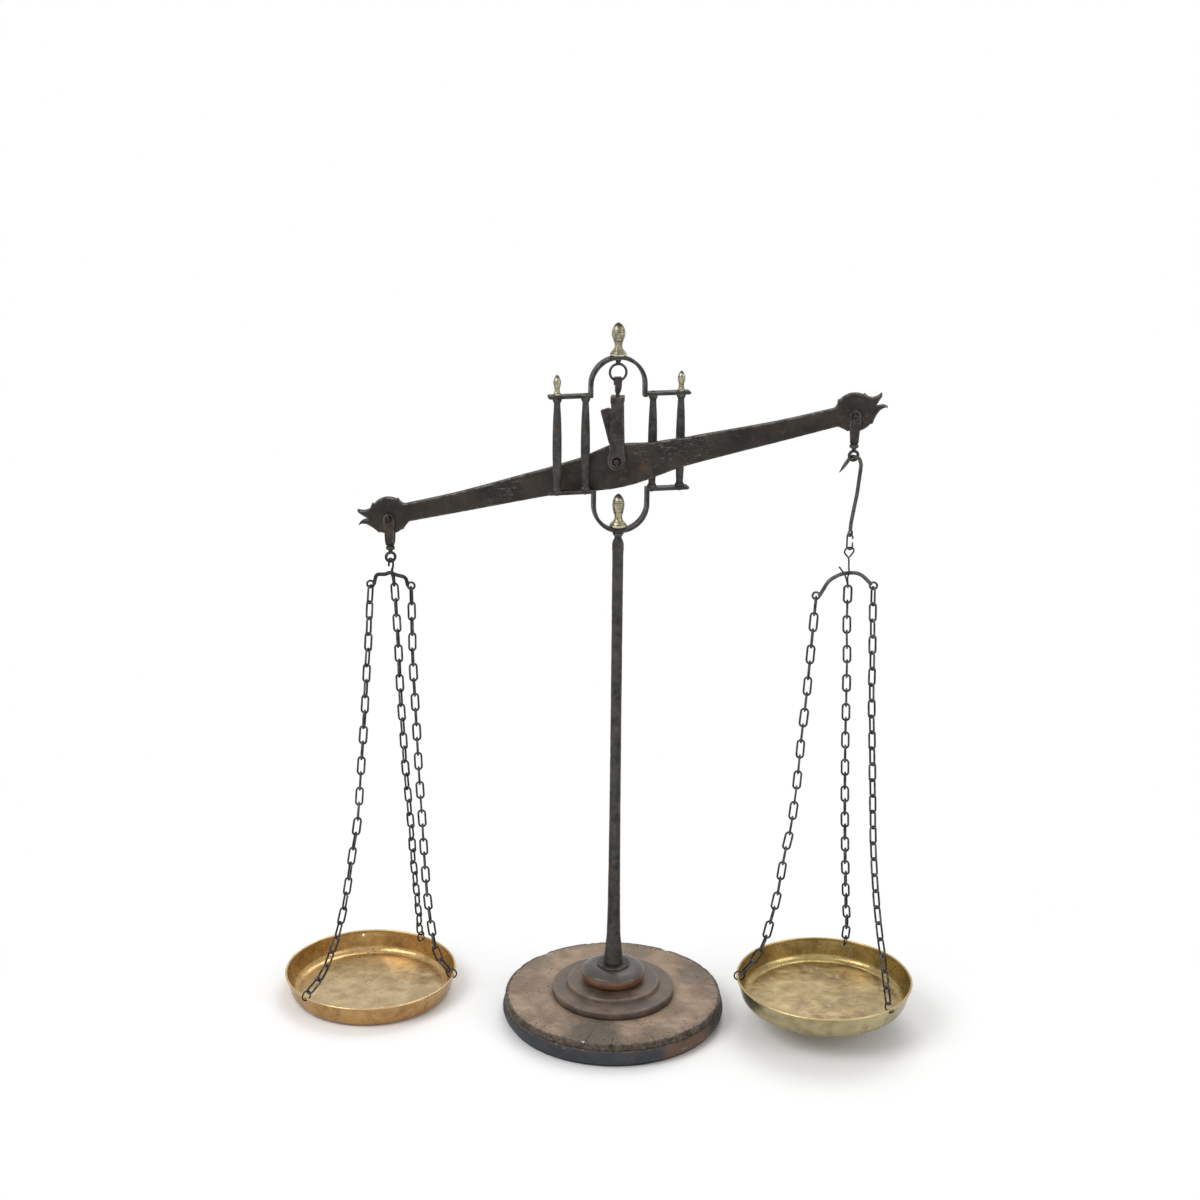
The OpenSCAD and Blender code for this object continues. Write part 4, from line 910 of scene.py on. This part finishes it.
# Pans: sheet brass raised over a stake, with a flat floor, a flared wall and a rolled rim.
# Use has dented them; the left one has gone coppery outside, the right one olive.
def old_brass(name, floor, floor_deep, wall, wall_deep, outer, outer_deep, dirt):
    """Worn brass in three pairs of tones: floor, inside wall and outside."""
    brass = Finish(name)
    stain_map = brass.noise(22, 7, 0.68, shift=2, warp=0.5)
    wide_map = brass.noise(60, 4, 0.6, shift=9)
    fine_map = brass.noise(5, 6, 0.7, shift=5)
    bowl = brass.mix(brass.band(stain_map, 0.34, 0.66), floor_deep, floor)
    bowl = brass.mix(brass.band(wide_map, 0.45, 0.65, 0, 0.35), bowl, floor)
    for stretch, shift in (((0.12, 1, 1), 3), ((1, 0.16, 1), 14)):
        streak = brass.times(
            brass.band(brass.noise(4, 5, 0.75, stretch, shift), 0.6, 0.68),
            brass.band(brass.noise(30, 4, 0.6, shift=shift + 1), 0.45, 0.6))
        bowl = brass.mix(brass.times(streak, 0.8), bowl, dirt)
    # Painted reflection: the inside wall takes its own tones, darker than the floor's, for the
    # darker surroundings that the wall reflects.
    around = brass.mix(brass.band(stain_map, 0.3, 0.68), wall_deep, wall)
    runs = brass.noise(9, 5, 0.6, (1, 1, 0.2), 6)
    around = brass.mix(brass.band(runs, 0.52, 0.7, 0, 0.3), around, wall_deep)
    bowl = brass.mix(brass.mark("floor"), around, bowl)
    spots = brass.times(brass.band(brass.cells(8, shift=4), 0.1, 0.19, 1, 0),
        brass.band(brass.noise(28, 4, 0.6, shift=11), 0.46, 0.56))
    bowl = brass.mix(brass.times(spots, 0.7), bowl, dirt)
    back = brass.mix(brass.band(stain_map, 0.28, 0.66), outer_deep, outer)
    back = brass.mix(brass.band(wide_map, 0.48, 0.62, 0, 0.5), back,
        tuple(c * 1.25 for c in outer))
    back = brass.mix(brass.band(fine_map, 0.58, 0.74, 0, 0.45), back,
        tuple(c * 0.6 for c in outer_deep))
    skin = brass.mix(brass.mark("inside"), back, bowl)
    # Painted highlight: the rolled rim is painted paler than the floor, as a thin bright line along
    # it.
    skin = brass.mix(brass.times(brass.mark("rim"), 0.5), skin,
        tuple(c * 1.1 for c in floor))
    gloss = brass.band(brass.noise(9, 5, 0.65, shift=7), 0.3, 0.7, 0.16, 0.32)
    gloss = brass.math("ADD", gloss, brass.times(brass.mark("floor"), 0.12))
    relief = brass.math("ADD", brass.noise(8, 5, 0.5),
        brass.times(brass.noise(1.6, 3, 0.6), 0.22))
    relief = brass.math("SUBTRACT", relief, brass.times(spots, 0.4))
    brass.surface(skin, gloss, relief, 0.2, metal=0.9)
    return brass.material


def pan(node, body, slot, centre, wall, holes, material, seed):
    """A pan with its holes, turned, then dented over knee and anvil."""
    r, h, base, fillet = 101, pan_h, 84.6, 11
    bead, hole_r = 1.4, 1.5
    outline = ([(0, 0), (base, 0)] + arc(base, fillet, fillet, -80, -13, 9)
        + [(r - 1.6, h - 2.2)] + arc(r - bead, h - bead, bead, -60, 210, 14)
        + arc(base, fillet, fillet - wall, -13, -90, 9) + [(0, wall)])
    mesh = turned(node + "_worn", fine(outline, 1.6), 280, centre[:2])
    piece = new_object(node + "_worn", mesh)
    drills = bmesh.new()
    for angle in holes:
        a = math.radians(angle)
        place = Vector((
            centre[0] + (r - 5) * math.cos(a), centre[1] + (r - 5) * math.sin(a), h - 5.5)) * mm
        facing = Matrix.Rotation(a, 4, "Z") @ Matrix.Rotation(math.pi / 2, 4, "Y")
        bmesh.ops.create_cone(drills, cap_ends=True, segments=20, radius1=hole_r * mm,
            radius2=hole_r * mm, depth=16 * mm, matrix=Matrix.Translation(place) @ facing)
    carve(piece, node + "_holes", drills)
    mesh = piece.data
    middle = Vector((centre[0], centre[1], 0)) * mm

    def dent(p, n):
        """Bulges and flats in the wall, low hills in the floor; also lifts the pan to its place."""
        out = p - middle
        flat = math.hypot(out.x, out.y) / mm
        side = Vector((out.x, out.y, 0)).normalized()
        low = clamp((flat - 78) / 14)
        q = Vector((p.x, p.y, seed * 0.01))
        bulge = 0.4 * cloud(q, 34, seed) + 0.22 * cloud(q, 13, seed + 2) - 0.45
        hill = 0.75 * abs(cloud(q, 30, seed + 4)) + 0.4 * clamp(cloud(q, 11, seed + 7))
        lift = hill * (1 - low) + centre[2]
        return p + side * bulge * low * mm * 0.8 + Vector((0, 0, lift * mm))

    inside, floor, rim = [], [], []
    for v in mesh.vertices:
        out = Vector((v.co.x, v.co.y, 0)) - middle
        z = v.co.z / mm
        inner = v.normal.z - (v.normal.dot(out.normalized()) if out.length > 0.05 else 0) > 0
        inside.append(1.0 if inner else 0.0)
        floor.append(clamp((91 - out.length / mm) / 13))
        rim.append(clamp((z - h + 2.4) / 1.2))
    mark_points(mesh, inside=inside, floor=floor, rim=rim)
    move_points(mesh, dent)
    dress(mesh, material)
    put(piece, body, node)


left_brass = old_brass("brass_pan_left",
    (0.56, 0.44, 0.26), (0.36, 0.26, 0.14), (0.54, 0.36, 0.15), (0.33, 0.2, 0.08),
    (0.47, 0.29, 0.115), (0.27, 0.14, 0.055), (0.14, 0.09, 0.055))
right_brass = old_brass("brass_pan_right",
    (0.48, 0.38, 0.2), (0.26, 0.185, 0.1), (0.42, 0.32, 0.13), (0.26, 0.185, 0.075),
    (0.4, 0.34, 0.19), (0.23, 0.185, 0.1), (0.13, 0.09, 0.075))
pan("pan_left", "left_pan_set", "brass_pan_left", left_pan, 1.2, (231, 62, 357, 106), left_brass, 3)
pan("pan_right", "right_pan_set", "brass_pan_right", right_pan, 1.0, (317, 74, 184), right_brass, 8)

# Wire rings: short lengths of iron wire bent through the holes of the pans, some of them left
# open, each with the last link of a chain in it.
for side, names in (("left", ("front", "back", "inner")), ("right", ("outer", "back", "inner"))):
    for name in names:
        forged(f"ring_{side}_{name}", chain_iron, f"{side}_pan_set", 0.2, 0.05, 3, 1)
